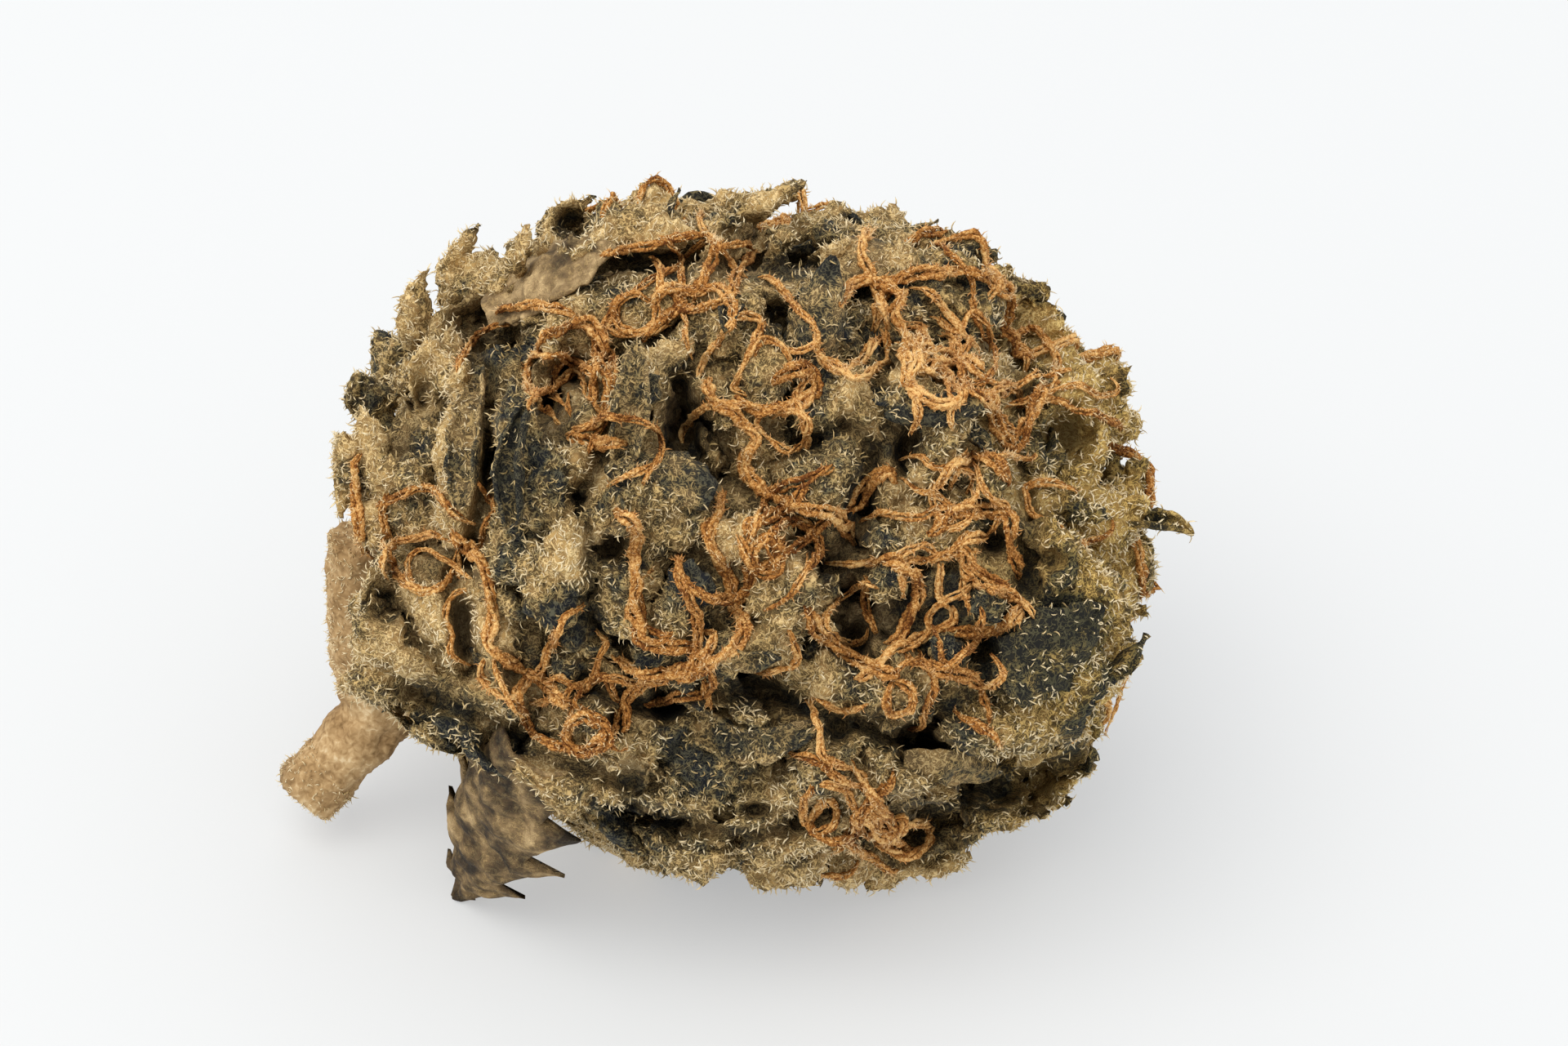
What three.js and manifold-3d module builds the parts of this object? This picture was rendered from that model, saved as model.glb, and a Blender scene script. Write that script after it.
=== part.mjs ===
// A dried, trimmed cannabis bud lying on its side: a cut woody stem with a side spur, bract clusters
// that grow out of the stem in a spiral, sugar leaves that lie over the clusters, and dried pistils.
// Millimetres, +Z up, +X from the cut stem towards the bud's tip. The bud rests on its lowest bract
// clusters, which its own weight has pressed flat.
import * as THREE from "three";
import { mergeVertices } from "three/addons/utils/BufferGeometryUtils.js";
import Module from "manifold-3d";

const wasm = await Module();
wasm.setup();

// ---- Driving dimensions ----
const FLOWER_LENGTH = 25.4; // bract mass along the stem
const FLOWER_DEPTH = 22.6; // bract mass, front to back
const FLOWER_HEIGHT = 21.2; // bract mass, bottom to top before it is pressed flat
const PRESSED = 0.45; // how much the lowest clusters are flattened
const SECTION_POWER = 2.5; // 2 is an ellipse, more is boxier
const CLUSTER_WIDTH = 8.4; // across one bract cluster
const CLUSTER_BLUNT = 2.7; // how blunt a cluster's outer end is: 2 is a half ellipse
const CLUSTER_FAN = 0.62; // the clusters fan out from the stem: a root's x as a share of its tip's x
const CLUSTER_GAP = 0.1; // clearance between clusters that are pressed together
const CLUSTER_ROOT = 0.4; // how far from the stem's axis a cluster starts
const STEM_WIDTH = 2.3;
const SPUR_WIDTH = 2.1;
const STEM_GAP = 0.1; // clearance between the stem and a cluster
const LEAF_THICK = 0.34;
const LEAF_GAP = 0.14; // clearance between a leaf and the clusters under it
const LEAF_SPREAD = 0.5; // how far round each point of a leaf the clusters have to be clear
const HANGING_LEAF_WIDTH = 4.4;
const TIP_LEAF_WIDTH = 1.0;
const PISTIL_WIDTH = 0.52;
const LOOSE_PISTIL_WIDTH = 0.36;
const PISTIL_GAP = 0.1; // clearance between a pistil and what it lies on
const FLOOR_GAP = 0.05; // clearance between the hanging leaf and the surface
const SHOW_TILT = 38; // degrees: the face that shows looks forward (-Y) and this far up

// ---- Layout of the clusters: rings round the stem, from the cut end to the tip ----
// at is the share of half the length, count the clusters in the ring, turn its first angle in degrees.
// grown is how far each cluster reaches, as a share of the bud's outline, where it falls short of it.
const RINGS = [
  { at: -0.74, count: 5, turn: 12, grown: [0.84, 1, 1, 1, 0.9] },
  { at: -0.36, count: 6, turn: 40, grown: [] },
  { at: 0.0, count: 7, turn: 8, grown: [] },
  { at: 0.36, count: 6, turn: 30, grown: [] },
  { at: 0.72, count: 5, turn: 0, grown: [0.88] },
];

const AXIS_Z = FLOWER_HEIGHT / 2 - PRESSED; // height of the stem's axis inside the bud
const HALF_LENGTH = FLOWER_LENGTH / 2;

// ---- Materials ----
const BRACT_GREEN = new THREE.MeshStandardMaterial({ color: 0x8a7a54, roughness: 0.9, metalness: 0 });
const LEAF_DARK = new THREE.MeshStandardMaterial({ color: 0x4f4a38, roughness: 0.8, metalness: 0 });
const PISTIL_ORANGE = new THREE.MeshStandardMaterial({ color: 0xb5703a, roughness: 0.85, metalness: 0 });
const STEM_TAN = new THREE.MeshStandardMaterial({ color: 0xbd9c6b, roughness: 0.85, metalness: 0 });

const bud = new THREE.Group();

// ---- Small helpers ----
const radians = THREE.MathUtils.degToRad;

// A repeatable number from -1 to 1, for the small differences between pieces that grew.
function vary(index, kind) {
  const wave = Math.sin(index * 12.9898 + kind * 78.233) * 43758.5453;
  return 2 * (wave - Math.floor(wave)) - 1;
}

// Half the bract mass's width at x, as a share of its width in the middle.
function taper(x) {
  const share = Math.min(Math.abs(x) / HALF_LENGTH, 0.98);
  return (1 - share ** SECTION_POWER) ** (1 / SECTION_POWER);
}

// A point on the smooth outline of the bract mass, at x along it and an angle round it from the top.
function outline(x, angle) {
  const c = Math.cos(angle);
  const s = Math.sin(angle);
  const depth = (FLOWER_DEPTH / 2) * taper(x);
  const height = (FLOWER_HEIGHT / 2) * taper(x);
  const sum = Math.abs(c / height) ** SECTION_POWER + Math.abs(s / depth) ** SECTION_POWER;
  const reach = sum ** (-1 / SECTION_POWER);
  return new THREE.Vector3(x, -reach * s, AXIS_Z + reach * c);
}

function toSolid(geometry) {
  const bare = geometry.clone();
  bare.deleteAttribute("normal");
  bare.deleteAttribute("uv");
  const merged = mergeVertices(bare, 1e-4);
  return new wasm.Manifold(
    new wasm.Mesh({
      numProp: 3,
      vertProperties: merged.attributes.position.array,
      triVerts: new Uint32Array(merged.index.array),
    }),
  );
}

function toGeometry(solid) {
  const mesh = solid.getMesh();
  return new THREE.BufferGeometry()
    .setAttribute("position", new THREE.BufferAttribute(mesh.vertProperties, 3))
    .setIndex(new THREE.BufferAttribute(mesh.triVerts, 1));
}

function addPiece(name, geometry, material) {
  const mesh = new THREE.Mesh(geometry, material);
  mesh.name = name;
  bud.add(mesh);
  return mesh;
}

const twoDigits = (n) => String(n).padStart(2, "0");

// A box that fills the side of a plane away from its normal, big enough to cut any piece.
function halfSpace(point, normal) {
  const size = 4 * FLOWER_LENGTH;
  const box = new THREE.BoxGeometry(size, size, size).translate(0, 0, -size / 2);
  box.applyQuaternion(new THREE.Quaternion().setFromUnitVectors(new THREE.Vector3(0, 0, 1), normal));
  return toSolid(box.translate(point.x, point.y, point.z));
}

// A round tube along a smooth curve, closed at both ends.
function tube(points, width, sides, steps) {
  const section = new THREE.Shape();
  for (let i = 0; i < sides; i += 1) {
    const angle = (2 * Math.PI * i) / sides;
    const corner = [(width / 2) * Math.cos(angle), (width / 2) * Math.sin(angle)];
    if (i === 0) section.moveTo(...corner);
    else section.lineTo(...corner);
  }
  const path = new THREE.CatmullRomCurve3(points, false, "centripetal");
  return new THREE.ExtrudeGeometry(section, { steps, bevelEnabled: false, extrudePath: path });
}

// ---- Stem: the cut end, its bend into the bud, and a spur that runs up the bud's base ----
const STEM_ENTRY = new THREE.Vector3(-HALF_LENGTH + 3.4, -0.2, 0.7 * AXIS_Z);
const STEM_ROUTE = [
  new THREE.Vector3(-HALF_LENGTH - 1.2, -1.9, STEM_WIDTH / 2 + 0.5),
  new THREE.Vector3(-HALF_LENGTH + 0.7, -1.2, 3.6),
  STEM_ENTRY,
  new THREE.Vector3(-HALF_LENGTH + 6.8, 0, AXIS_Z - 0.4),
  new THREE.Vector3(0, 0, AXIS_Z),
  new THREE.Vector3(0.6 * HALF_LENGTH, 0, AXIS_Z),
];
const SPUR_ROUTE = [
  new THREE.Vector3(-HALF_LENGTH + 1.2, -1.1, 4.2),
  new THREE.Vector3(-HALF_LENGTH + 0.75, -0.6, 0.72 * AXIS_Z),
  new THREE.Vector3(-HALF_LENGTH + 0.8, 0.1, 1.05 * AXIS_Z),
];

function stemSolid(extra) {
  const main = toSolid(tube(STEM_ROUTE, STEM_WIDTH + 2 * extra, 10, 22));
  const spur = toSolid(tube(SPUR_ROUTE, SPUR_WIDTH + 2 * extra, 8, 7));
  return main.add(spur);
}

// ---- Bract clusters ----
// An egg with its blunt end outwards, turned round the cluster's own line: an ellipse inside its
// widest place and a blunter curve outside it.
function egg(width, length) {
  const shoulder = 0.62 * length; // where the egg is widest
  const profile = [];
  const steps = 8;
  for (let i = 0; i <= steps; i += 1) {
    const angle = (Math.PI * i) / steps;
    const outer = angle > Math.PI / 2;
    const power = outer ? 2 / CLUSTER_BLUNT : 1;
    const along = -Math.sign(Math.cos(angle)) * Math.abs(Math.cos(angle)) ** power;
    const radius = (width / 2) * Math.abs(Math.sin(angle)) ** power;
    const reach = outer ? length - shoulder : shoulder;
    profile.push(new THREE.Vector2(i % steps === 0 ? 0 : radius, shoulder + along * reach));
  }
  return new THREE.LatheGeometry(profile, 10);
}

// Where each cluster is rooted on the stem and how far out it reaches.
function clusterLines() {
  const lines = [];
  RINGS.forEach((ring, r) => {
    for (let i = 0; i < ring.count; i += 1) {
      const k = lines.length + 1;
      const angle = radians(ring.turn + (360 * i) / ring.count + 6 * vary(k, 1));
      const x = ring.at * HALF_LENGTH + 0.7 * vary(k, 2);
      const axis = new THREE.Vector3(x, 0, AXIS_Z);
      const tip = axis.lerp(outline(x, angle), ring.grown[i] ?? 1);
      const outwards = new THREE.Vector3(0, tip.y, tip.z - AXIS_Z).normalize();
      const root = new THREE.Vector3(x * CLUSTER_FAN, 0, AXIS_Z).addScaledVector(outwards, CLUSTER_ROOT);
      tip.addScaledVector(outwards, 0.5 * vary(k, 3));
      lines.push({ root, tip, width: CLUSTER_WIDTH * (1 + 0.1 * vary(k, 4)), ring: r });
    }
  });
  lines.push({
    root: new THREE.Vector3(0.5 * HALF_LENGTH, 0, AXIS_Z),
    tip: new THREE.Vector3(HALF_LENGTH, -0.6, AXIS_Z + 0.4),
    width: CLUSTER_WIDTH,
    ring: RINGS.length,
  });
  return lines;
}

function eggAlong(line) {
  const direction = line.tip.clone().sub(line.root);
  const shape = egg(line.width, direction.length());
  const turn = new THREE.Quaternion();
  turn.setFromUnitVectors(new THREE.Vector3(0, 1, 0), direction.normalize());
  return shape.applyQuaternion(turn).translate(line.root.x, line.root.y, line.root.z);
}

// The middle of the egg's wide part, which is what its neighbours press against.
const belly = (line) => line.root.clone().lerp(line.tip, 0.6);

// Each pair of clusters is parted on the flat face halfway between them, with the gap between clusters.
function pressedTogether(solid, line, lines) {
  let rest = solid;
  for (const other of lines) {
    if (other === line) continue;
    const between = belly(line).sub(belly(other));
    const share = other.width / (line.width + other.width);
    const middle = belly(other).addScaledVector(between, share);
    const normal = between.normalize();
    rest = rest.subtract(halfSpace(middle.addScaledVector(normal, CLUSTER_GAP / 2), normal));
  }
  return rest;
}

const lines = clusterLines();
const swollenStem = stemSolid(STEM_GAP);
const clusters = lines.map((line, i) => {
  let solid = pressedTogether(toSolid(eggAlong(line)), line, lines);
  solid = solid.subtract(halfSpace(new THREE.Vector3(), new THREE.Vector3(0, 0, 1)));
  solid = solid.subtract(swollenStem);
  const whole = solid.decompose().sort((a, b) => b.volume() - a.volume())[0];
  return addPiece(`bract_cluster_${twoDigits(i + 1)}`, toGeometry(whole), BRACT_GREEN);
});
addPiece("stem", toGeometry(stemSolid(0)), STEM_TAN);

// ---- The outer surface of the clusters, for what lies on it ----
const CORE = new THREE.Vector3(0, 0, AXIS_Z);
const FAR = 3 * FLOWER_LENGTH;
const SHOW_RIGHT = new THREE.Vector3(1, 0, 0);
const SHOW_UP = new THREE.Vector3(0, Math.sin(radians(SHOW_TILT)), Math.cos(radians(SHOW_TILT)));
const SHOW_OUT = new THREE.Vector3(0, -Math.cos(radians(SHOW_TILT)), Math.sin(radians(SHOW_TILT)));
const caster = new THREE.Raycaster();
clusters.forEach((mesh) => mesh.updateMatrixWorld(true));

// How far the clusters reach from the core in a direction.
function reachOut(direction) {
  caster.set(CORE.clone().addScaledVector(direction, FAR), direction.clone().negate());
  const hit = caster.intersectObjects(clusters, false)[0];
  return hit ? FAR - hit.distance : 0;
}

// The point on the clusters at a place on the face that shows. The place is across to the right and up
// from the core, as shares of half the bud's length and half its height as that face shows it.
const SHOW_HALF_HEIGHT = Math.hypot(SHOW_UP.z * FLOWER_HEIGHT, SHOW_UP.y * FLOWER_DEPTH) / 2;
const SHOW_HALF_DEPTH = Math.hypot(SHOW_OUT.z * FLOWER_HEIGHT, SHOW_OUT.y * FLOWER_DEPTH) / 2;
function onShowFace(across, up) {
  const left = 1 - Math.abs(across) ** SECTION_POWER - Math.abs(up) ** SECTION_POWER;
  const direction = new THREE.Vector3().addScaledVector(SHOW_RIGHT, across * HALF_LENGTH);
  direction.addScaledVector(SHOW_UP, up * SHOW_HALF_HEIGHT);
  direction.addScaledVector(SHOW_OUT, SHOW_HALF_DEPTH * Math.max(left, 0) ** (1 / SECTION_POWER));
  direction.normalize();
  return CORE.clone().addScaledVector(direction, reachOut(direction));
}

// Moves a point out from the core until it clears the clusters round it.
function clearOf(point, clearance, spread) {
  const out = point.clone().sub(CORE);
  const distance = out.length();
  out.normalize();
  const side = new THREE.Vector3(0, 0, 1).cross(out).normalize();
  const over = out.clone().cross(side);
  let reach = reachOut(out);
  for (let i = 0; i < 6; i += 1) {
    const angle = (Math.PI * i) / 3;
    const near = out.clone().multiplyScalar(distance);
    near.addScaledVector(side, spread * Math.cos(angle)).addScaledVector(over, spread * Math.sin(angle));
    reach = Math.max(reach, reachOut(near.normalize()));
  }
  return CORE.clone().addScaledVector(out, Math.max(distance, reach + clearance));
}

// ---- Sugar leaves ----
// from and to are the leaf's two ends on the face that shows: [across, up] as shares, and the lift off
// the clusters in mm. fold bends the blade's sides up, or down when it is negative.
const LEAVES = [
  { from: [-0.66, 0.11, 0.2], to: [-0.62, 0.5, 0.5], width: 1.9, fold: 0.5 },
  { from: [-0.54, 0.06, 0.2], to: [-0.5, 0.4, 0.7], width: 1.7, fold: 0.7 },
  { from: [-0.24, 0.24, 0.2], to: [-0.27, 0.53, 0.5], width: 1.9, fold: 0.5 },
  { from: [-0.12, 0.12, 0.2], to: [-0.31, 0.18, 0.4], width: 1.8, fold: 0.4 },
  { from: [0.16, 0.56, 0.2], to: [0.24, 0.78, 0.5], width: 2.1, fold: 0.5 },
  { from: [0.54, 0.38, 0.3], to: [0.31, 0.35, 0.3], width: 1.5, fold: -0.5 },
  { from: [0.6, -0.43, 0.2], to: [0.87, -0.22, 0.3], width: 3.2, fold: -0.5 },
  { from: [-0.13, -0.54, 0.3], to: [0.2, -0.55, 0.4], width: 1.6, fold: 0.4 },
  { from: [0.42, -0.72, 0.2], to: [0.86, -0.6, 0.5], width: 1.6, fold: 0.4 },
  { from: [-0.63, 0.7, 0.3], to: [-0.39, 0.87, 0.4], width: 2.6, fold: 0.4 },
  { from: [0.32, 0.87, 0.2], to: [0.57, 0.83, 0.5], width: 1.9, fold: 0.3 },
];
const LEAF_COLUMNS = 4;
const LEAF_ROWS = 7;

// Half the blade's width at a share of its length, with a saw edge.
function bladeWidth(share, width, row) {
  const smooth = (width / 2) * Math.sin(Math.PI * (0.16 + 0.84 * share ** 0.8)) ** 0.8;
  return Math.max(0.2, smooth * (row % 2 === 0 ? 0.84 : 1));
}

// A closed sheet between two grids of points, the under side and the top side.
function sheet(under, top) {
  const rows = under.length;
  const columns = under[0].length;
  const positions = [...under.flat(), ...top.flat()].flatMap((p) => [p.x, p.y, p.z]);
  const faces = [];
  const at = (layer, row, column) => layer * rows * columns + row * columns + column;
  const quad = (a, b, c, d) => faces.push(a, b, c, a, c, d);
  for (let r = 0; r < rows - 1; r += 1) {
    for (let c = 0; c < columns - 1; c += 1) {
      quad(at(1, r, c), at(1, r, c + 1), at(1, r + 1, c + 1), at(1, r + 1, c));
      quad(at(0, r, c), at(0, r + 1, c), at(0, r + 1, c + 1), at(0, r, c + 1));
    }
    quad(at(0, r, 0), at(1, r, 0), at(1, r + 1, 0), at(0, r + 1, 0));
    quad(at(1, r, columns - 1), at(0, r, columns - 1), at(0, r + 1, columns - 1), at(1, r + 1, columns - 1));
  }
  for (let c = 0; c < columns - 1; c += 1) {
    quad(at(0, 0, c), at(0, 0, c + 1), at(1, 0, c + 1), at(1, 0, c));
    quad(at(1, rows - 1, c), at(1, rows - 1, c + 1), at(0, rows - 1, c + 1), at(0, rows - 1, c));
  }
  const geometry = new THREE.BufferGeometry();
  geometry.setAttribute("position", new THREE.Float32BufferAttribute(positions, 3));
  geometry.setIndex(faces);
  return geometry;
}

// A blade along a line of spine points, which place(point) sets down on or beside the bud.
function blade(spine, width, fold, outwards, place) {
  const under = [];
  const top = [];
  for (let r = 0; r <= LEAF_ROWS; r += 1) {
    const share = r / LEAF_ROWS;
    const point = spine.getPoint(share);
    const along = spine.getTangent(share);
    const out = outwards(point);
    const side = along.clone().cross(out).normalize();
    const half = bladeWidth(share, width, r);
    under.push([]);
    top.push([]);
    for (let c = 0; c <= LEAF_COLUMNS; c += 1) {
      const across = (2 * c) / LEAF_COLUMNS - 1;
      const rise = fold * half * (fold > 0 ? Math.abs(across) : 1 - Math.abs(across)) * Math.sign(fold);
      const spot = place(point.clone().addScaledVector(side, across * half).addScaledVector(out, rise));
      under[r].push(spot);
      top[r].push(spot.clone().addScaledVector(outwards(spot), LEAF_THICK));
    }
  }
  return sheet(under, top);
}

const fromCore = (point) => point.clone().sub(CORE).normalize();

function lyingLeaf({ from, to, width, fold }) {
  const points = [0, 0.33, 0.66, 1].map((share) => {
    const across = THREE.MathUtils.lerp(from[0], to[0], share);
    const up = THREE.MathUtils.lerp(from[1], to[1], share);
    const lift = THREE.MathUtils.lerp(from[2], to[2], share);
    const point = onShowFace(across, up);
    return point.addScaledVector(fromCore(point), lift);
  });
  const spine = new THREE.CatmullRomCurve3(points);
  return blade(spine, width, fold, fromCore, (point) => clearOf(point, LEAF_GAP, LEAF_SPREAD));
}

LEAVES.forEach((leaf, i) => addPiece(`sugar_leaf_${twoDigits(i + 1)}`, lyingLeaf(leaf), LEAF_DARK));

// Two leaves stand clear of the clusters: one hangs at the lower front beside the stem, and its tip
// reaches the surface; the other is a short rolled tip that sticks out at the bud's far end.
function standingLeaf(route, width, fold, facing) {
  const cleared = (point) => {
    const spot = clearOf(point, LEAF_GAP, LEAF_SPREAD);
    spot.z = Math.max(spot.z, FLOOR_GAP);
    return spot;
  };
  return blade(new THREE.CatmullRomCurve3(route), width, fold, () => facing, cleared);
}

const hangingRoot = onShowFace(-0.46, -0.78);
const hangingTip = new THREE.Vector3(-0.61 * HALF_LENGTH, -0.25 * FLOWER_DEPTH, 0.15);
const hangingRoute = [
  hangingRoot,
  hangingRoot.clone().lerp(hangingTip, 0.35).add(new THREE.Vector3(0.1, -0.5, 0)),
  hangingRoot.clone().lerp(hangingTip, 0.7).add(new THREE.Vector3(0, -0.4, 0)),
  hangingTip,
];
const hangingFacing = new THREE.Vector3(-0.2, -0.97, 0.1).normalize();
addPiece("hanging_leaf", standingLeaf(hangingRoute, HANGING_LEAF_WIDTH, 0.25, hangingFacing), LEAF_DARK);

const tipRoute = [-0.3, 0.55, 1.4].map(
  (past, i) => new THREE.Vector3(HALF_LENGTH + past, -1.7 - 0.1 * i, AXIS_Z + 1.3 + 0.2 * i),
);
const tipFacing = new THREE.Vector3(0, -0.6, 0.8);
addPiece("tip_leaf", standingLeaf(tipRoute, TIP_LEAF_WIDTH, 0.8, tipFacing), LEAF_DARK);

// ---- Pistils: dried stigmas, as threads that lie over the clusters ----
// Each route is a list of [across, up] on the face that shows, as shares.
const PISTILS = [
  [[-0.08, 0.48], [-0.05, 0.4], [0.04, 0.26], [0.02, 0.18], [0.07, 0.09], [0.16, 0.09], [0.29, -0.02]],
  [[-0.02, 0.41], [0.06, 0.42], [0.13, 0.38], [0.2, 0.41]],
  [[-0.31, 0.07], [-0.25, 0], [-0.26, -0.12], [-0.26, -0.23], [-0.22, -0.31], [-0.12, -0.33]],
  [[-0.28, -0.37], [-0.16, -0.42], [-0.05, -0.39], [0.01, -0.28], [-0.02, -0.15], [-0.07, 0], [-0.04, 0.15]],
  [[0.31, -0.07], [0.39, -0.07], [0.45, -0.12], [0.43, -0.23], [0.39, -0.32]],
  [[0.16, -0.2], [0.21, -0.3], [0.28, -0.36], [0.36, -0.41], [0.43, -0.42]],
  [[0.49, 0.14], [0.54, 0.19], [0.6, 0.21], [0.65, 0.2], [0.68, 0.13]],
  [[0.46, 0], [0.54, 0.06], [0.61, 0.07], [0.67, 0.04], [0.66, -0.07], [0.7, -0.13]],
  [[0.64, 0.48], [0.65, 0.36], [0.69, 0.29], [0.72, 0.37], [0.77, 0.47]],
  [[0.34, 0.63], [0.36, 0.71], [0.46, 0.73], [0.58, 0.73], [0.68, 0.66]],
  [[-0.72, -0.03], [-0.61, -0.15], [-0.61, -0.25], [-0.6, -0.35], [-0.52, -0.43], [-0.44, -0.49]],
  [[-0.5, 0.55], [-0.43, 0.58], [-0.37, 0.64], [-0.32, 0.59], [-0.31, 0.53]],
  [[-0.47, 0.31], [-0.42, 0.32], [-0.36, 0.29]],
  [[0.5, -0.33], [0.55, -0.3], [0.6, -0.26], [0.65, -0.22]],
  [[0.27, 0.11], [0.31, 0.2], [0.39, 0.17]],
];

function lyingPistil(route) {
  const flat = new THREE.CatmullRomCurve3(route.map(([across, up]) => new THREE.Vector3(across, up, 0)));
  const steps = 3 * (route.length - 1);
  const points = flat
    .getPoints(steps)
    .map(({ x, y }) => clearOf(onShowFace(x, y), PISTIL_GAP + PISTIL_WIDTH / 2, 0.8 * PISTIL_WIDTH));
  return tube(points, PISTIL_WIDTH, 5, steps);
}

PISTILS.forEach((route, i) => addPiece(`pistil_${twoDigits(i + 1)}`, lyingPistil(route), PISTIL_ORANGE));

// One thin pistil stands up off the clusters at the lower far end.
const looseRoot = onShowFace(0.86, -0.56);
const looseRoute = [
  [0.2, -0.1, 0],
  [0.8, 0.3, 0.2],
  [0.9, 1.2, 0.3],
  [1.3, 2.0, 0.2],
].map(([right, up, out]) => {
  const point = looseRoot.clone().addScaledVector(SHOW_RIGHT, right);
  point.addScaledVector(SHOW_UP, up).addScaledVector(SHOW_OUT, out);
  return clearOf(point, PISTIL_GAP + LOOSE_PISTIL_WIDTH / 2, LOOSE_PISTIL_WIDTH);
});
addPiece("pistil_loose", tube(looseRoute, LOOSE_PISTIL_WIDTH, 5, 6), PISTIL_ORANGE);

// ---- The part's frame: origin under the middle of the bud, on the surface that it rests on ----
bud.updateMatrixWorld(true);
const box = new THREE.Box3().setFromObject(bud, true);
const centre = box.getCenter(new THREE.Vector3());
bud.position.set(-centre.x, -centre.y, -box.min.z);

export default bud;
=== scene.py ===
"""The looks of a dried, trimmed cannabis bud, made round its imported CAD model.

Every length in this file is in millimetres, and a finished piece is scaled to metres once. The bud lies on
its side with +X from the cut stem to the tip. Its core is the middle of its bract clusters. Places on the
side that shows are given as a viewer sees them: across to the right and up from the core, in millimetres.
"""
import logging
import math
from collections.abc import Callable, Iterable, Sequence
from dataclasses import dataclass, field
from enum import Enum
from functools import cached_property

import bpy
import numpy as np
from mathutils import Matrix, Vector
from mathutils.bvhtree import BVHTree


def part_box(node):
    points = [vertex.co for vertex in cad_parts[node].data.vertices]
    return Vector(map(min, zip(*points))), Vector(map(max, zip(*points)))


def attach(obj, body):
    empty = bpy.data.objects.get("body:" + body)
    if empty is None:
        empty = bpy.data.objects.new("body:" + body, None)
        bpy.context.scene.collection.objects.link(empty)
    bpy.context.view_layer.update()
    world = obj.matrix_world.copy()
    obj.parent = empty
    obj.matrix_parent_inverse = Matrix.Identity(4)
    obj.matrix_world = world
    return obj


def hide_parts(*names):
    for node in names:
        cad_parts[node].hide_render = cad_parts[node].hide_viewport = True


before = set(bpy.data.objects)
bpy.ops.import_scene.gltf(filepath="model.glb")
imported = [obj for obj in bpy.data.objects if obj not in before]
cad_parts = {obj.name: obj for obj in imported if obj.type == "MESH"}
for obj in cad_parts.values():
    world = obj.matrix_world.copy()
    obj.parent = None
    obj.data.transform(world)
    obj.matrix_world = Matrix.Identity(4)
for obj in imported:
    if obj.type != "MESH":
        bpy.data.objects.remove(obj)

Array = np.ndarray
Pair = tuple[float, float]
Hit = tuple[np.ndarray, np.ndarray, int]  # a place on a surface, its outward normal, its owner's number
Piece = bpy.types.Object
Mesh = bpy.types.Mesh
Material = bpy.types.Material
Socket = bpy.types.NodeSocket
Tree = bpy.types.NodeTree

MM = 0.001  # metres in a millimetre
RIGHT = np.array([1.0, 0.0, 0.0])
BODY = "root"
SEED = 33
HAIR_CHART = "OFBake"  # the UV map that holds each hair's tone and length
BUD_RADIUS = 11.0  # about how far the outside is from the core
FAR = 1e4  # farther than anything that a ray can meet
CLEAR_OF_FLOOR = 0.03  # the lowest that a finished surface comes

log = logging.getLogger("bud")


# ---- Small helpers ----


def linear(code: str) -> tuple[float, float, float, float]:
    """Turns an sRGB hex colour into the linear colour that shaders take.

    Args:
        code: six hex digits, with or without a leading #.

    Returns:
        Red, green, blue and an alpha of 1.
    """
    parts = [int(code.lstrip("#")[i : i + 2], 16) / 255 for i in (0, 2, 4)]
    red, green, blue = (c / 12.92 if c <= 0.04045 else ((c + 0.055) / 1.055) ** 2.4 for c in parts)
    return (red, green, blue, 1.0)


def unit(vectors: Array) -> Array:
    """Scales each vector in the last axis to a length of 1."""
    return vectors / np.maximum(np.linalg.norm(vectors, axis=-1, keepdims=True), 1e-9)


def grain(points: Array, size: float, seed: int) -> Array:
    """Smooth noise at points, the same on every run.

    Args:
        points: places, n by 3, in millimetres.
        size: how far apart the noise's lumps are, in millimetres.
        seed: picks one noise field.

    Returns:
        One value from -1 to 1 for each point.
    """
    cell = np.floor(points / size).astype(np.int64)
    part = points / size - cell
    part = part * part * (3 - 2 * part)
    total = np.zeros(len(points))
    for corner in np.ndindex(2, 2, 2):
        at = cell + np.array(corner)
        mixed = (at[:, 0] * 73856093) ^ (at[:, 1] * 19349663) ^ (at[:, 2] * 83492791) ^ (seed * 2654435761)
        mixed = ((mixed & 0xFFFFFFFF) * 2246822519) & 0xFFFFFFFF
        mixed = ((mixed ^ (mixed >> 15)) * 3266489917) & 0xFFFFFFFF
        value = (mixed ^ (mixed >> 16)) / 0x7FFFFFFF - 1
        weight = np.where(np.array(corner) == 1, part, 1 - part).prod(axis=1)
        total += weight * value
    return total


def grains(points: Array, size: float, seed: int) -> Array:
    """Three noise fields at once, one for each axis, from three seeds in a row."""
    return np.stack([grain(points, size, seed + k) for k in range(3)], axis=1)


def deselect_all() -> None:
    """Leaves nothing selected, so that an operator acts on one piece only."""
    for other in bpy.context.selected_objects:
        other.select_set(False)


def choose(piece: Piece) -> None:
    """Selects one piece and makes it the active one."""
    deselect_all()
    piece.select_set(True)
    bpy.context.view_layer.objects.active = piece


def apply_modifier(piece: Piece, kind: str, **settings: object) -> None:
    """Adds one modifier to a piece and applies it.

    Args:
        piece: the object to change.
        kind: the modifier's type, such as REMESH.
        settings: the modifier's own properties.
    """
    choose(piece)
    modifier = piece.modifiers.new(kind.lower(), kind)
    for name, value in settings.items():
        setattr(modifier, name, value)
    bpy.ops.object.modifier_apply(modifier=modifier.name)


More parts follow.
